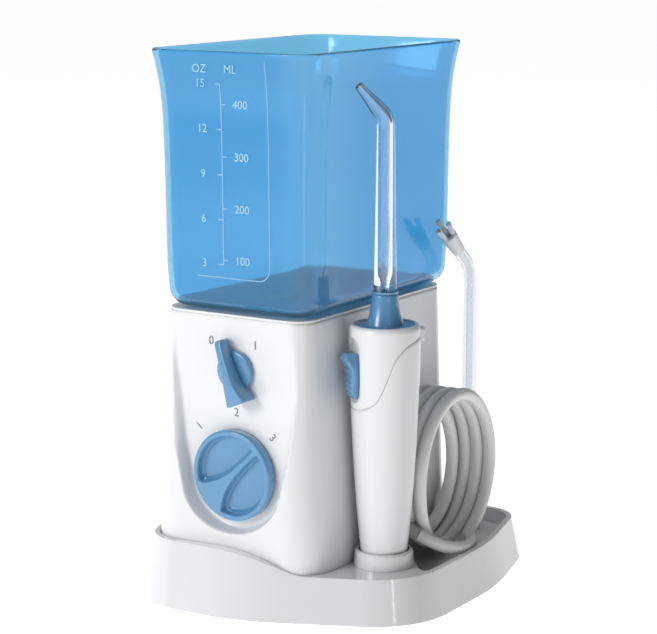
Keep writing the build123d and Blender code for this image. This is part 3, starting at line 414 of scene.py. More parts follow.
def rounded_box_loop(half_w, half_d, radius, centre):
    """A rounded rectangle about a centre, starting on the left at the back."""
    x, y = centre
    corners = [(x - half_w, y + half_d), (x - half_w, y - half_d),
               (x + half_w, y - half_d), (x + half_w, y + half_d)]
    return rounded_loop(corners, radius, 12, (16, 10, 16, 10))


def at_height(loop, z):
    """Lift a flat loop to height z."""
    return np.column_stack([loop, np.full(len(loop), float(z))])


def quarter(steps):
    """Angles from 0 to 90 degrees."""
    return np.linspace(0, pi / 2, steps + 1)


def round_profile(points, radius, steps):
    """Round the corners of an open (radius, height) profile; the ends stay."""
    points = [np.array(p, float) for p in points]
    result = [points[0]]
    for before, here, after in zip(points, points[1:], points[2:]):
        back, on = before - here, after - here
        reach = min(radius, 0.45 * np.linalg.norm(back), 0.45 * np.linalg.norm(on))
        start, end = here + unit(back) * reach, here + unit(on) * reach
        for t in np.linspace(0, 1, steps + 1):
            result.append((1 - t) ** 2 * start + 2 * t * (1 - t) * here + t * t * end)
    return result + [points[-1]]


def lathe(name, profile, axis_xy, segments):
    """Turn a closed (radius, height) profile about a vertical axis."""
    angles = np.linspace(0, 2 * pi, segments, endpoint=False)
    rows = [np.column_stack([axis_xy[0] + r * np.cos(angles), axis_xy[1] + r * np.sin(angles),
                             np.full(segments, z)]) for r, z in profile]
    return grid_object(name, rows, wrap=True)


def tube_rows(path, radii):
    """Rings of the given radii square to a path that lies in one vertical plane."""
    segments = 32
    path = np.asarray(path, float)
    along = np.gradient(path, axis=0)
    along /= np.linalg.norm(along, axis=1)[:, None]
    lean = path[-1] - path[0]
    side = unit(np.cross([lean[0], lean[1], 0], [0, 0, 1.0]))
    angles = np.linspace(0, 2 * pi, segments, endpoint=False)
    rows = []
    for point, direction, radius in zip(path, along, radii):
        up = np.cross(direction, side)
        rows.append(point + radius * (np.cos(angles)[:, None] * side + np.sin(angles)[:, None] * up))
    return rows


def bent_path(foot, bend, end, bend_r, steps):
    """A straight run, an arc of radius bend_r about the bend, and a straight run to the end."""
    foot, bend, end = (np.array(p, float) for p in (foot, bend, end))
    come, go = unit(bend - foot), unit(end - bend)
    turn = atan2(np.linalg.norm(np.cross(come, go)), come @ go)
    reach = bend_r * tan(turn / 2)
    start = bend - come * reach
    inward = unit(go - come * (come @ go))
    centre = start + inward * bend_r
    arc = [centre - inward * bend_r * cos(a) + come * bend_r * sin(a)
           for a in np.linspace(0, turn, steps + 1)]
    before = [foot + (start - foot) * t for t in np.linspace(0, 1, 30)[:-1]]
    after = [arc[-1] + (end - arc[-1]) * t for t in np.linspace(0, 1, 16)[1:]]
    return np.array(before + arc + after)


def run_length(path):
    """How far along a path each of its points lies."""
    return np.concatenate([[0], np.cumsum(np.linalg.norm(np.diff(path, axis=0), axis=1))])


def bored_tube(name, path, outer, inner):
    """A tube with a bore from end to end."""
    outside = tube_rows(path, outer)
    inside = tube_rows(path, inner)
    return grid_object(name, outside + inside[::-1], wrap=True)


# ------------------------------------------------------------------ reservoir
HEIGHT = cad_box[1][2] / MM
TANK_Z = node_box("body_shell")[1][2] + 1.2
BODY_X, BODY_Y = -13.7, -0.9
TANK_HALF_W, TANK_HALF_D, TANK_WALL, TANK_CORNER = 33.2, 55.3, 2.0, 10.0
TANK_FLOOR_INSET = 26  # how far in the floor's innermost ring is drawn
tank_flare = smooth_curve([TANK_Z, 125, 150, 175, 190, 198, 205, HEIGHT],
                          [-1.0, -0.3, 0.1, 0.4, 0.9, 1.6, 2.6, 3.4])
OUTLET = (-12.5, -24.0)
SPOUT_BORE, SPOUT_R, SPOUT_L = 5.4, 7.0, 9.0


def tank_loop(inset, z):
    """The reservoir's outline at height z, drawn in by inset."""
    out = float(tank_flare(z)) - inset
    return at_height(rounded_box_loop(TANK_HALF_W + out, TANK_HALF_D + out, max(TANK_CORNER - inset, 1.5),
                                      (BODY_X, BODY_Y)), z)


def make_reservoir():
    """Flared clear tank: rounded foot, thin walls, a rolled lip, and the outlet spout below."""
    foot, inner_foot, lip = 6.5, 4.5, TANK_WALL / 2
    floor_z = TANK_Z + 2.4
    wall_z = np.linspace(TANK_Z + foot, HEIGHT - lip, 44)
    rows = [tank_loop(TANK_FLOOR_INSET, TANK_Z)]
    rows += [tank_loop(foot * (1 - sin(a)), TANK_Z + foot * (1 - cos(a))) for a in quarter(9)[:-1]]
    rows += [tank_loop(0, z) for z in wall_z]
    rows += [tank_loop(lip - lip * cos(a), HEIGHT - lip + lip * sin(a))
             for a in np.linspace(0, pi, 9)[1:-1]]
    rows += [tank_loop(TANK_WALL, z) for z in wall_z[::-1][:-2]]
    rows += [tank_loop(TANK_WALL + inner_foot * (1 - cos(a)), floor_z + inner_foot * (1 - sin(a)))
             for a in quarter(7)]
    rows += [tank_loop(TANK_FLOOR_INSET, floor_z)]
    tank = grid_object("reservoir_tank", rows)
    place_piece(tank, "blue_tank", "reservoir_unit", ("reservoir",))
    mouth, root = TANK_Z - SPOUT_L, TANK_Z + 0.2
    profile = [(SPOUT_BORE, mouth), (SPOUT_R, mouth), (SPOUT_R, root), (SPOUT_BORE, root),
               (SPOUT_BORE, mouth)]
    spout = lathe("reservoir_spout", round_profile(profile, 0.4, 3)[:-1], OUTLET, 64)
    place_piece(spout, "blue_tank", "reservoir_unit")


make_reservoir()

# ------------------------------------------------------------------ motor body
PANEL_Y = -54.7
KNOB_X = -11.6
DIAL_Z = 53.0
RECESS_R = 21.0
PANEL_SPRING = -8.87  # where the panel's sides leave its round foot, up from the dial
SHELL_WALL = 2.2
body_heights = [12.35, 19, 40, 60, 85, 112]
body_levels = {
    "half_width": [36.5, 36.4, 35.3, 34.4, 33.0, 31.8],
    "front_left": [-63.0, -63.0, -62.0, -60.4, -57.4, -54.9],
    "front_right": [-55.5, -55.6, -57.6, -57.8, -56.6, -54.9],
    "back": [52.3, 52.2, 50.6, 49.7, 48.8, 48.1],
    "corner": [15.0, 15.0, 13.5, 12.0, 10.0, 8.5],
}
body_curves = {name: smooth_curve(body_heights, values) for name, values in body_levels.items()}
panel_side = smooth_curve([PANEL_SPRING, 8, 24, 45, 61], [19.03, 23.0, 25.2, 28.4, 28.9])


def panel_depth(u, v):
    """Distance inside the control panel's outline; u is across from the controls, v up from the dial."""
    low = RECESS_R - np.hypot(u, v)
    slope = panel_side(v + 0.5) - panel_side(v - 0.5)
    side = (panel_side(v) - np.abs(u)) / np.sqrt(1 + slope ** 2)
    return np.where(v < PANEL_SPRING, low, side)


def body_rows(z, inset):
    """The body's outline at height z, with the control panel pressed flat into its front."""
    level = {name: float(curve(z)) for name, curve in body_curves.items()}
    left, right = BODY_X - level["half_width"] + inset, BODY_X + level["half_width"] - inset
    corners = [(left, level["back"] - inset), (left, level["front_left"] + inset),
               (right, level["front_right"] + inset), (right, level["back"] - inset)]
    loop = rounded_loop(corners, level["corner"] - inset, 22, (24, 150, 24, 14))
    inside = panel_depth(loop[:, 0] - KNOB_X, z - DIAL_Z)
    rim = 2.0 * (np.sqrt(inside ** 2 + 0.35 ** 2) - inside)
    front = loop[:, 1] < 0
    pressed = smooth_max(loop[:, 1], PANEL_Y + inset - rim, 0.45)
    loop[:, 1] = np.where(front, pressed, loop[:, 1])
    return at_height(loop, z)


def make_body_shell():
    """The motor body's white shell and its wall; its rows are close together beside the panel's foot."""
    low, high = node_box("body_shell")[0][2], node_box("body_shell")[1][2]
    edge = 0.6
    heights = np.concatenate([np.arange(low, 30, 0.7), np.arange(30, 76, 0.42),
                              np.arange(76, high - edge, 0.8)])
    rows = [body_rows(z, 0.0) for z in heights]
    rows += [body_rows(high, edge * (1 - sin(pi / 4))), body_rows(high, 0.9)]
    rows += [body_rows(z, SHELL_WALL) for z in np.linspace(high, low, 40)]
    shell = grid_object("body_shell_skin", rows, wrap=True)
    place_piece(shell, "white_shell", "base", ("body_shell",))


make_body_shell()

# ------------------------------------------------------------------ pressure dial and power knob
DIAL_R = 17.2
DIAL_BACK, DIAL_FACE = PANEL_Y - 0.4, PANEL_Y - 4.6
DIAL_REST, POWER_REST = 46.0, -23.0
POWER_Z = 92.2


def face_points(u, v, depth, centre, turn):
    """Points on a control: u across, v to its pointer, depth towards the back, turned clockwise."""
    angle = radians(turn)
    x = u * cos(angle) + v * sin(angle)
    z = v * cos(angle) - u * sin(angle)
    return np.stack([centre[0] + x, np.broadcast_to(depth, x.shape), centre[1] + z], axis=-1)


POCKET_R = 15.2
grip_half = smooth_curve([-16.5, -12, -7, 0, 5, 16.5], [8.4, 5.6, 3.1, 1.4, 1.0, 0.8])


def dial_press(u, v):
    """How deep the dial's two stepped pockets are at a point of its face."""
    ring = POCKET_R - np.hypot(u, v)
    slope = grip_half(v + 0.5) - grip_half(v - 0.5)
    beside = (np.abs(u) - grip_half(v)) / np.sqrt(1 + slope ** 2)
    inside = -smooth_max(-ring, -beside, 1.2)
    return 2.4 * smooth_step(-0.2, 0.6, inside) + 1.0 * smooth_step(0.7, 1.7, inside)


def make_dial():
    """Round dial: crowned rim, two stepped pockets and the grip between them."""
    angles = np.linspace(0, 2 * pi, 300, endpoint=False)
    across, up = np.sin(angles), np.cos(angles)
    edge = 0.9

    def ring(r, depth):
        return face_points(r * across, r * up, depth, (KNOB_X, DIAL_Z), DIAL_REST)

    rows = [ring(6, DIAL_BACK), ring(DIAL_R - 0.3, DIAL_BACK), ring(DIAL_R, DIAL_BACK - 0.3)]
    rows += [ring(DIAL_R - edge * (1 - cos(a)), DIAL_FACE + edge * (1 - sin(a))) for a in quarter(6)]
    rows += [ring(r, DIAL_FACE + dial_press(r * across, r * up))
             for r in np.linspace(DIAL_R - edge - 0.2, 0.4, 66)]
    dial = grid_object("pressure_dial_cap", rows)
    place_piece(dial, "blue_knob", "pressure_control", ("pressure_dial",))


make_dial()


POWER_CENTRE = (KNOB_X, POWER_Z)
FIN_THUMB, FIN_POINTER, FIN_END_R = -12.2, 12.5, 0.9
fin_left = smooth_curve([FIN_THUMB, -8, -2, 4, FIN_POINTER], [-3.6, -2.7, -1.8, -1.45, -1.2])
fin_right = smooth_curve([FIN_THUMB, -9, -5, 1, 7, FIN_POINTER], [4.9, 3.7, 2.6, 2.0, 1.8, 2.0])
fin_crest = smooth_curve([FIN_THUMB, -6, -2, 4, FIN_POINTER], [8.6, 8.6, 8.3, 7.5, 6.1])


def fin_section(v):
    """The fin's section at v: straight flanks with a little draft, and a rounded crest."""
    end = min(v - FIN_THUMB, FIN_POINTER - v, FIN_END_R)
    draw = FIN_END_R - sqrt(max(0.0, FIN_END_R ** 2 - (FIN_END_R - end) ** 2))
    a, b = float(fin_left(v)) + draw, float(fin_right(v)) - draw
    top = float(fin_crest(v)) - draw
    flank, foot, middle, r = 0.25, 1.2, 4.0, min(0.7, (b - a) / 2.2)
    section = [(a - flank, foot), (a - flank / 2, middle)]
    section += [(a + r - r * cos(t), top - r + r * sin(t)) for t in quarter(5)]
    section += [(b - r + r * sin(t), top - r + r * cos(t)) for t in quarter(5)]
    section += [(b + flank / 2, middle), (b + flank, foot)]
    return np.array(section)


def make_power_knob():
    """Curved fin on a round base: narrow at the pointer, flared and higher at the thumb end."""
    angles = np.linspace(0, 2 * pi, 128, endpoint=False)
    profile = ((3, 0), (7.4, 0), (7.6, 0.3), (7.6, 1.3), (7.4, 1.7), (6.9, 1.9), (3, 2.0), (0.5, 2.0))
    rows = [face_points(r * np.sin(angles), r * np.cos(angles), DIAL_BACK - rise, POWER_CENTRE, POWER_REST)
            for r, rise in profile]
    base = grid_object("power_knob_base", rows)
    place_piece(base, "blue_knob", "power_control", ("power_knob",))
    along = np.concatenate([[FIN_THUMB], FIN_THUMB + 1 - np.cos(quarter(5)[1:]), np.linspace(-10.4, 11.2, 40),
                            FIN_POINTER - FIN_END_R * (1 - np.sin(quarter(5)[1:]))])
    rows = []
    for v in np.unique(np.round(along, 3)):
        section = fin_section(v)
        rows.append(face_points(section[:, 0], np.full(len(section), v), DIAL_BACK - section[:, 1],
                                POWER_CENTRE, POWER_REST))
    fin = grid_object("power_knob_fin", rows)
    place_piece(fin, "blue_knob", "power_control")


make_power_knob()

# ------------------------------------------------------------------ handle
HANDLE = (34.1, -24.9)
FACING = unit(np.array([-0.63, -0.777]))  # where the slide button and the tip look
ACROSS = np.array([-FACING[1], FACING[0]])
HANDLE_FOOT, HANDLE_TOP = node_box("handle_grip_shell")[0][2], node_box("handle_head_shell")[1][2]
DECK_Z = 103.6                                        # underside of the deck in the handle's head
FOOT_R = 8.3
grip_radius = smooth_curve([HANDLE_FOOT, 23, 44, 78, 96, 104, HANDLE_TOP],
                           [FOOT_R, 8.75, 10.65, 12.6, 13.1, 13.15, 13.15])
bore_radius = smooth_curve([HANDLE_FOOT, 44, 78, DECK_Z], [6.6, 8.25, 10.2, 10.75])
seam_height = smooth_curve([-16, -11, -6.6, -3.5, -1.2, 2.6, 8.4, 16],
                           [77.8, 79.4, 83.4, 90.4, 96.6, 101.7, 104.5, 105.3])
AROUND = np.linspace(0, 2 * pi, 320, endpoint=False)  # from the slide button's side
SEAM = seam_height(-12.9 * np.cos(AROUND))
SEAM_GAP = 0.06                                       # each shell stops this far from the seam
RECESS_Z, RECESS_FLAT = 93.1, 11.35
EJECT_Z, WINDOW_DEPTH = 105.4, 5.5


def handle_ring(radius, z):
    """A ring of the handle: radius and height may change round it."""
    flat = np.outer(np.cos(AROUND), FACING) + np.outer(np.sin(AROUND), ACROSS)
    radius, z = np.broadcast_to(radius, AROUND.shape), np.broadcast_to(z, AROUND.shape)
    return np.column_stack([np.array(HANDLE) + flat * radius[:, None], z])


def inside_box(across, up, half_w, half_h, corner):
    """Distance inside a rounded rectangle."""
    past_w, past_h = np.abs(across) - half_w + corner, np.abs(up) - half_h + corner
    over = np.hypot(np.maximum(past_w, 0), np.maximum(past_h, 0))
    flat = np.maximum(past_w, past_h)
    return corner - np.where(over > 0, over, flat)


def window_share(z):
    """1 where a ring of the handle passes behind the eject button, 0 elsewhere."""
    side = grip_radius(z) * np.sin(AROUND)
    inside = np.where(np.cos(AROUND) < -0.3, inside_box(side, z - EJECT_Z, 4.5, 3.1, 1.4), -9)
    return smooth_step(-0.15, 0.15, inside)


def inner_radius(z):
    """Bore of the handle, pushed in behind the window."""
    return bore_radius(z) - window_share(z) * (WINDOW_DEPTH - 1.0)


def head_radius(z):
    """Outer radius of the handle: hollowed round the slide button, with a window for the eject button."""
    radius = grip_radius(z)
    side = radius * np.sin(AROUND)
    inside = np.where(np.cos(AROUND) > 0.3, inside_box(side, z - RECESS_Z, 5.4, 11.9, 4.0), -9)
    floor = RECESS_FLAT / np.maximum(np.cos(AROUND), 0.3)
    return (radius - smooth_step(-0.4, 0.6, inside) * np.maximum(radius - floor, 0)
            - window_share(z) * WINDOW_DEPTH)


def lip(distance):
    """How far a shell's edge is rolled in at the seam."""
    return 0.38 * (1 - smooth_step(0.0, 0.9, distance))


def make_handle():
    """Head and grip shells that meet on an S-shaped seam."""
    head_foot, grip_top = SEAM + SEAM_GAP, SEAM - SEAM_GAP
    shoulder = 2.2
    wall_top = HANDLE_TOP - shoulder
    rows = []
    for share in np.concatenate([[0, 0.004, 0.010, 0.018, 0.028], np.linspace(0.04, 1, 96)]):
        z = head_foot + share * (wall_top - head_foot)
        rows.append(handle_ring(head_radius(z) - lip(z - SEAM), z))
    edge = float(grip_radius(wall_top))
    rows += [handle_ring(edge - 0.62 * shoulder * (1 - cos(a)), wall_top + shoulder * sin(a))
             for a in quarter(7)[1:]]
    seat, bore_top = HANDLE_TOP - 1.4, DECK_Z - 0.6
    inside = ((11.3, HANDLE_TOP), (11.15, HANDLE_TOP - 0.15), (11.15, seat), (6.1, seat), (6.1, DECK_Z),
              (inner_radius(DECK_Z), DECK_Z))
    rows += [handle_ring(r, z) for r, z in inside]
    for share in np.linspace(1, 0, 14):
        z = head_foot + share * (bore_top - SEAM)
        rows.append(handle_ring(inner_radius(z), z))
    head = grid_object("handle_head", rows, wrap=True)
    place_piece(head, "white_shell", "handle", ("handle_head_shell",))
    rows = [handle_ring(7.4, HANDLE_FOOT)]
    rows += [handle_ring(FOOT_R - 0.5 * (1 - sin(a)), HANDLE_FOOT + 0.5 * (1 - cos(a))) for a in quarter(4)]
    for share in np.concatenate([np.linspace(0.012, 0.97, 76), [0.978, 0.985, 0.991, 0.996, 1]]):
        z = HANDLE_FOOT + share * (grip_top - HANDLE_FOOT)
        rows.append(handle_ring(head_radius(z) - lip(SEAM - z), z))
    for share in np.linspace(1, 0, 24):
        z = HANDLE_FOOT + share * (grip_top - HANDLE_FOOT)
        rows.append(handle_ring(inner_radius(z), z))
    grip = grid_object("handle_grip", rows, wrap=True)
    place_piece(grip, "white_shell", "handle", ("handle_grip_shell",))


make_handle()

# ------------------------------------------------------------------ slide button
BUTTON_LOW, BUTTON_HIGH, BUTTON_BACK, BUTTON_EDGE = 82.6, 99.5, 11.7, 1.3
RIB_DEPTH, RIB_PITCH, RIB_FIRST = 0.45, 2.2, 84.9
button_face = smooth_curve([BUTTON_LOW, 83.6, 85.4, 91.2, 94.8, 98.2, BUTTON_HIGH],
                           [12.7, 13.9, 14.6, 14.6, 15.1, 16.5, 15.5])
button_half = smooth_curve([BUTTON_LOW, 83.8, 86, 97, BUTTON_HIGH], [2.4, 3.7, 4.15, 4.15, 3.4])


def button_section(z):
    """The slide button's section at height z: flat back, round sides and the groove between its ribs."""
    out, wide, r = float(button_face(z)), float(button_half(z)), BUTTON_EDGE
    ribbed = float(smooth_step(83.8, 84.6, z)) * float(1 - smooth_step(94.4, 95.2, z))
    groove = RIB_DEPTH * (0.5 + 0.5 * cos(2 * pi * (z - RIB_FIRST) / RIB_PITCH)) * ribbed
    section = [(-wide, BUTTON_BACK), (-wide, out - r - 0.4)]
    section += [(-wide + r - r * cos(t), out - r + (r - groove) * sin(t)) for t in quarter(6)]
    section += [(s * (wide - r), out - groove) for s in (-0.5, 0, 0.5)]
    section += [(wide - r + r * sin(t), out - r + (r - groove) * cos(t)) for t in quarter(6)]
    section += [(wide, out - r - 0.4), (wide, BUTTON_BACK)]
    return section


def make_pause_button():
    """Slide button: hooked top, a ribbed thumb face and round sides."""
    rows = []
    for z in np.linspace(BUTTON_LOW, BUTTON_HIGH, 110):
        flat = np.array([ACROSS * s + FACING * d for s, d in button_section(z)]) + np.array(HANDLE)
        rows.append(at_height(flat, z))
    button = grid_object("pause_slide_button", rows)
    place_piece(button, "blue_knob", "pause_slider", ("pause_button",))


make_pause_button()

# ------------------------------------------------------------------ rotator and jet tip
SHANK_R, GROOVE_R = 6.0, 4.9  # the rotator's shank, and its grooves for the clip and the seal
TIP_BEND_Z, TIP_REACH, TIP_END_Z = 185.2, 10.6, 197.2
TIP_SHANK_R, TIP_BORE_R = 2.4, 0.95


def make_rotator():
    """Blue turning collar: a shank in the head, a flange in its rim and a flared cone round the tip."""
    shank = [(2.46, 100.4), (SHANK_R, 100.4), (SHANK_R, 101.5), (GROOVE_R, 101.5), (GROOVE_R, 102.9),
             (SHANK_R, 102.9), (SHANK_R, 105.2), (GROOVE_R, 105.2), (GROOVE_R, 106.6), (SHANK_R, 106.6)]
    above = [(SHANK_R, -1.0), (10.8, -1.0), (10.8, -0.3), (8.4, -0.3), (6.9, -0.3), (6.7, 0.4), (5.95, 3.2),
             (5.35, 6.4), (4.95, 9.6), (4.8, 10.8), (4.35, 11.2), (2.5, 11.2)]
    profile = shank + [(r, HANDLE_TOP + rise) for r, rise in above]
    rotator = lathe("tip_collar_cone", round_profile(profile, 0.35, 4), HANDLE, 96)
    place_piece(rotator, "blue_knob", "rotator", ("tip_rotator",))


make_rotator()


def make_jet_tip():
    """Clear tip: thick wall, a smooth crook and a tapered nose."""
    bend = (*HANDLE, TIP_BEND_Z)
    outlet = (*(np.array(HANDLE) + TIP_REACH * FACING), TIP_END_Z)
    ring_top = HANDLE_TOP + 12.2
    path = bent_path((*HANDLE, ring_top), bend, outlet, 8.0, 14)
    run = run_length(path)
    whole = run[-1]
    outer = 4.3 - 0.95 * np.minimum(run / (whole - 20), 1)
    outer -= 1.95 * smooth_step(whole - 19, whole + 4, run)
    inner = TIP_BORE_R + 0.95 * smooth_step(2, 7, run)
    inner -= 1.3 * smooth_step(whole - 18, whole + 3, run)
    outer[0] -= 0.25
    outer[-1] -= 0.12
    shank = [np.array([*HANDLE, z]) for z in (101.0, 101.3, ring_top)]
    path = np.concatenate([shank, path])
    outer = np.concatenate([[TIP_SHANK_R - 0.2, TIP_SHANK_R, TIP_SHANK_R], outer])
    inner = np.concatenate([[TIP_BORE_R] * 3, inner])
    tip = bored_tube("jet_tip_tube", path, outer, inner)
    place_piece(tip, "clear_tip", "tip", ("jet_tip",))


make_jet_tip()

# ------------------------------------------------------------------ spare tip
SPARE = (27.3, 52.3)
SPARE_BEND = np.array([*SPARE, 119.0])
SPARE_END = np.array([SPARE[0] - 0.4, SPARE[1] - 11.0, 128.8])
SPARE_AIM = unit(SPARE_END - SPARE_BEND)
SPARE_SIDE = unit(np.cross(SPARE_AIM, [1.0, 0, 0]))
SPARE_LEVEL = np.cross(SPARE_SIDE, SPARE_AIM)
COLLAR_L, COLLAR_BORE = 8.6, 1.3
TUFTS, TUFT_R, STRANDS, STRAND_RING_R, STRAND_R = 3, 2.1, 7, 0.62, 0.36


def make_spare_tube():
    """Clear tube with a crook, on its post."""
    path = bent_path((*SPARE, 49.2), SPARE_BEND, SPARE_END, 12.0, 12)
    run = run_length(path)
    outer = np.interp(run, [0, run[-1] - 14, run[-1]], [3.15, 2.6, 2.3])
    inner = np.full(len(path), 1.25)
    outer[0] -= 0.25
    tube = bored_tube("spare_tip_clear_tube", path, outer, inner)
    place_piece(tube, "clear_smoke", "spare_tip", ("spare_tip_tube",))


def make_spare_collar():
    """White collar on the end of the tube, flared towards the bristles."""
    stations = [(-2.0, 2.42), (-2.0, 2.55), (-1.8, 2.7), (0.0, 2.75), (COLLAR_L / 2, 3.05),
                (COLLAR_L - 0.4, 3.3), (COLLAR_L - 0.1, 3.2), (COLLAR_L, 2.9), (COLLAR_L, COLLAR_BORE),
                (0.05, COLLAR_BORE), (0.05, 2.42)]
    angles = np.linspace(0, 2 * pi, 48, endpoint=False)
    spoke = np.cos(angles)[:, None] * SPARE_LEVEL + np.sin(angles)[:, None] * SPARE_SIDE
    rows = [SPARE_END + SPARE_AIM * s + r * spoke for s, r in stations]
    collar = grid_object("spare_tip_white_collar", rows, wrap=True)
    place_piece(collar, "tip_collar", "spare_tip", ("spare_tip_collar",))


def make_bristles():
    """Tufts of strands that spread as they rise, each of a slightly different length."""
    draws = np.random.default_rng(7)
    curve = bpy.data.curves.new("bristles", "CURVE")
    curve.dimensions = "3D"
    curve.bevel_depth = STRAND_R * MM
    curve.bevel_resolution = 3
    curve.use_fill_caps = True
    for tuft in range(TUFTS):
        turn = 2 * pi * tuft / TUFTS + 0.4
        outward = np.array([cos(turn), sin(turn)])
        for strand in range(STRANDS):
            ring = STRAND_RING_R if strand else 0.0
            angle = 2 * pi * strand / (STRANDS - 1)
            apart = ring * np.array([cos(angle), sin(angle)])
            length = 6.4 + 0.6 * draws.random()
            spline = curve.splines.new("NURBS")
            spline.points.add(2)
            for target, share in zip(spline.points, (0, 0.5, 1)):
                spread = outward * TUFT_R + apart + (outward * 0.7 + apart * 0.4) * share ** 1.5
                place = (SPARE_END + SPARE_AIM * (COLLAR_L - 0.2 + length * share)
                         + spread[0] * SPARE_LEVEL + spread[1] * SPARE_SIDE)
                target.co = (*metres(place), 1)
            spline.order_u = 3
            spline.use_endpoint_u = True
    bristles = bpy.data.objects.new("spare_tip_tufts", curve)
    place_piece(bristles, "bristle_frost", "spare_tip", ("spare_tip_bristles",))


make_spare_tube()
make_spare_collar()
make_bristles()

# ------------------------------------------------------------------ marks
MARK_SIZE, MARK_DEPTH = 4.6, 0.12
SCALE_X, SCALE_LOW, SCALE_HIGH, ML_STEP = -16.0, 131.5, 197.5, 18.97
SCALE_SIZE, SCALE_DEPTH = 4.3, 0.2


def text_piece(name, words, size, place, turn, depth, material, body):
    """Raised lettering facing the front, centred on place, in millimetres; turn is clockwise."""
    data = bpy.data.curves.new(name, "FONT")
    data.body = words
    data.size = size * MM
    data.align_x, data.align_y = "CENTER", "CENTER"
    data.extrude = depth / 2 * MM
    data.resolution_u = 4
    text = bpy.data.objects.new(name, data)
    text.rotation_euler = (pi / 2, radians(turn), 0)
    text.location = metres(place)
    bpy.context.scene.collection.objects.link(text)
    bpy.context.view_layer.update()
    mesh = bpy.data.meshes.new_from_object(text.evaluated_get(bpy.context.evaluated_depsgraph_get()))
    mesh.transform(text.matrix_world)
    bpy.data.objects.remove(text)
    place_piece(bpy.data.objects.new(name, mesh), material, body)


def panel_mark(name, word, u, z, turn):
    """A mark on the panel, u across from the controls and at height z."""
    text_piece(name, word, MARK_SIZE, (KNOB_X + u, PANEL_Y - 0.04, z), turn, MARK_DEPTH, "mark_grey",
               "base")


def make_panel_marks():
    """The dial's numbers and the switch's off and on marks."""
    for number, turn, u, v in (("1", -46, -17.1, 16.0), ("2", 0, -0.3, 23.2), ("3", 46, 15.7, 15.6)):
        panel_mark(f"dial_mark_{number}", number, u, DIAL_Z + v, turn)
    for word, u in (("0", -11.4), ("I", 8.3)):
        panel_mark(f"switch_mark_{word}", word, u, POWER_Z + 10.1, 0)


make_panel_marks()


def on_front(x, z, rise=0.0):
    """A point just before the reservoir's front face; rise is how much higher the face is measured."""
    return (x, BODY_Y - TANK_HALF_D - float(tank_flare(z + rise)) - 0.05, z)


def scale_line(name, points, radius=0.2):
    """A fine raised line on the reservoir, through points in millimetres."""
    curve = bpy.data.curves.new(name, "CURVE")
    curve.dimensions = "3D"
    spline = curve.splines.new("POLY")
    spline.points.add(len(points) - 1)
    for target, point in zip(spline.points, points):
        target.co = (*metres(point), 1)
    curve.bevel_depth = radius * MM
    curve.bevel_resolution = 2
    curve.use_fill_caps = True
    place_piece(bpy.data.objects.new(name, curve), "scale_frost", "reservoir_unit")


def scale_text(name, words, place):
    """Raised lettering on the reservoir."""
    text_piece(name, words, SCALE_SIZE, place, 0, SCALE_DEPTH, "scale_frost", "reservoir_unit")


def make_scale():
    """Ounces to the left of the scale's line and millilitres to its right, in a fine raised frame."""
    tick = 2.0
    scale_line("scale_line", [on_front(SCALE_X, z) for z in np.linspace(SCALE_LOW, SCALE_HIGH, 16)])
    for ounces in (3, 6, 9, 12, 15):
        z = SCALE_LOW + (SCALE_HIGH - SCALE_LOW) * (ounces - 3) / 12
        scale_line(f"scale_tick_oz_{ounces}", [on_front(SCALE_X - tick, z), on_front(SCALE_X, z)])
        scale_text(f"scale_oz_{ounces}", str(ounces), on_front(SCALE_X - 8.6, z, 1.5))
    for count in (1, 2, 3, 4):
        z = SCALE_LOW + 1.7 + ML_STEP * (count - 1)
        scale_line(f"scale_tick_ml_{count}", [on_front(SCALE_X, z), on_front(SCALE_X + tick, z)])
        scale_text(f"scale_ml_{count}00", f"{count}00", on_front(SCALE_X + 8.4, z))
    for word, x in (("OZ", SCALE_X - 8.4), ("ML", SCALE_X + 5.2)):
        scale_text(f"scale_{word}", word, on_front(x, 202.8, 1.8))
    right, bottom, corner = 4.3, 126.6, 5.0
    border = [on_front(right, z) for z in np.linspace(206, bottom + corner, 24)]
    border += [on_front(right - corner * (1 - cos(a)), bottom + corner * (1 - sin(a)))
               for a in quarter(8)[1:]]
    border += [on_front(x, bottom) for x in np.linspace(right - corner, -28, 6)[1:]]
    scale_line("scale_frame", border, 0.16)


make_scale()

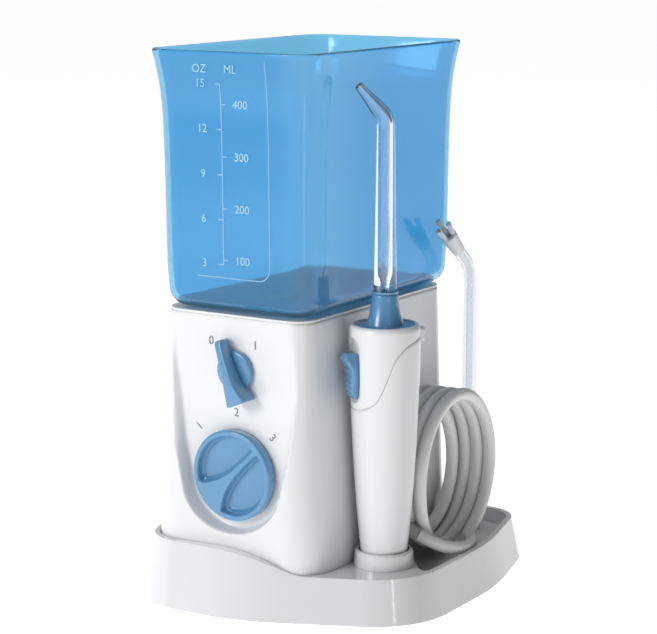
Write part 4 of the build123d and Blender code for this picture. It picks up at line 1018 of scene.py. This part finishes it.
# ------------------------------------------------------------------ floor and light
def make_floor():
    """A white floor that glows a little."""
    bpy.ops.mesh.primitive_plane_add(size=60, location=(0, 0, 0))
    floor = bpy.context.object
    floor.name = "floor"
    white = (0.75, 0.75, 0.75)
    material, tree, shader = new_material("floor_white", white, 0.7)
    tint(tree, shader, noise_node(tree, 3), white, (0.735, 0.735, 0.735))
    shader.inputs["Emission Color"].default_value = (1, 1, 1, 1)
    shader.inputs["Emission Strength"].default_value = 0.8
    shader.inputs["Specular IOR Level"].default_value = 0.2
    floor.data.materials.append(material)


def make_surround():
    """A soft surround, brighter on the left than on the right."""
    world = bpy.data.worlds.new("studio")
    world.use_nodes = True
    tree = world.node_tree
    background = tree.nodes["Background"]
    place = tree.nodes.new("ShaderNodeTexCoord")
    split = tree.nodes.new("ShaderNodeSeparateXYZ")
    tree.links.new(place.outputs["Generated"], split.inputs["Vector"])
    side = tree.nodes.new("ShaderNodeMapRange")
    side.interpolation_type = "SMOOTHSTEP"
    side.inputs["From Min"].default_value = -0.35
    side.inputs["From Max"].default_value = 0.45
    side.inputs["To Min"].default_value = 0.38
    side.inputs["To Max"].default_value = 0.08
    tree.links.new(split.outputs["X"], side.inputs["Value"])
    tree.links.new(side.outputs["Result"], background.inputs["Strength"])
    background.inputs["Color"].default_value = (0.97, 0.985, 1, 1)
    bpy.context.scene.world = world


def area_light(name, place, target, size, power):
    """A soft box at place, in millimetres, turned to its target."""
    data = bpy.data.lights.new(name, "AREA")
    data.shape = "RECTANGLE"
    data.size, data.size_y = metres(size)
    data.energy = power
    light = bpy.data.objects.new(name, data)
    bpy.context.scene.collection.objects.link(light)
    light.location = metres(place)
    light.rotation_euler = (Vector(metres(target)) - light.location).to_track_quat("-Z", "Y").to_euler()


make_floor()
make_surround()
area_light("key", (-420, -1040, 500), (0, 0, 90), (450, 450), 6.2)
area_light("top", (-200, 0, 1200), (0, 0, 0), (700, 700), 2.6)
area_light("strip_right", (540, -322, 170), (0, 0, 110), (11, 340), 0.16)
bpy.context.scene.view_settings.view_transform = "Standard"
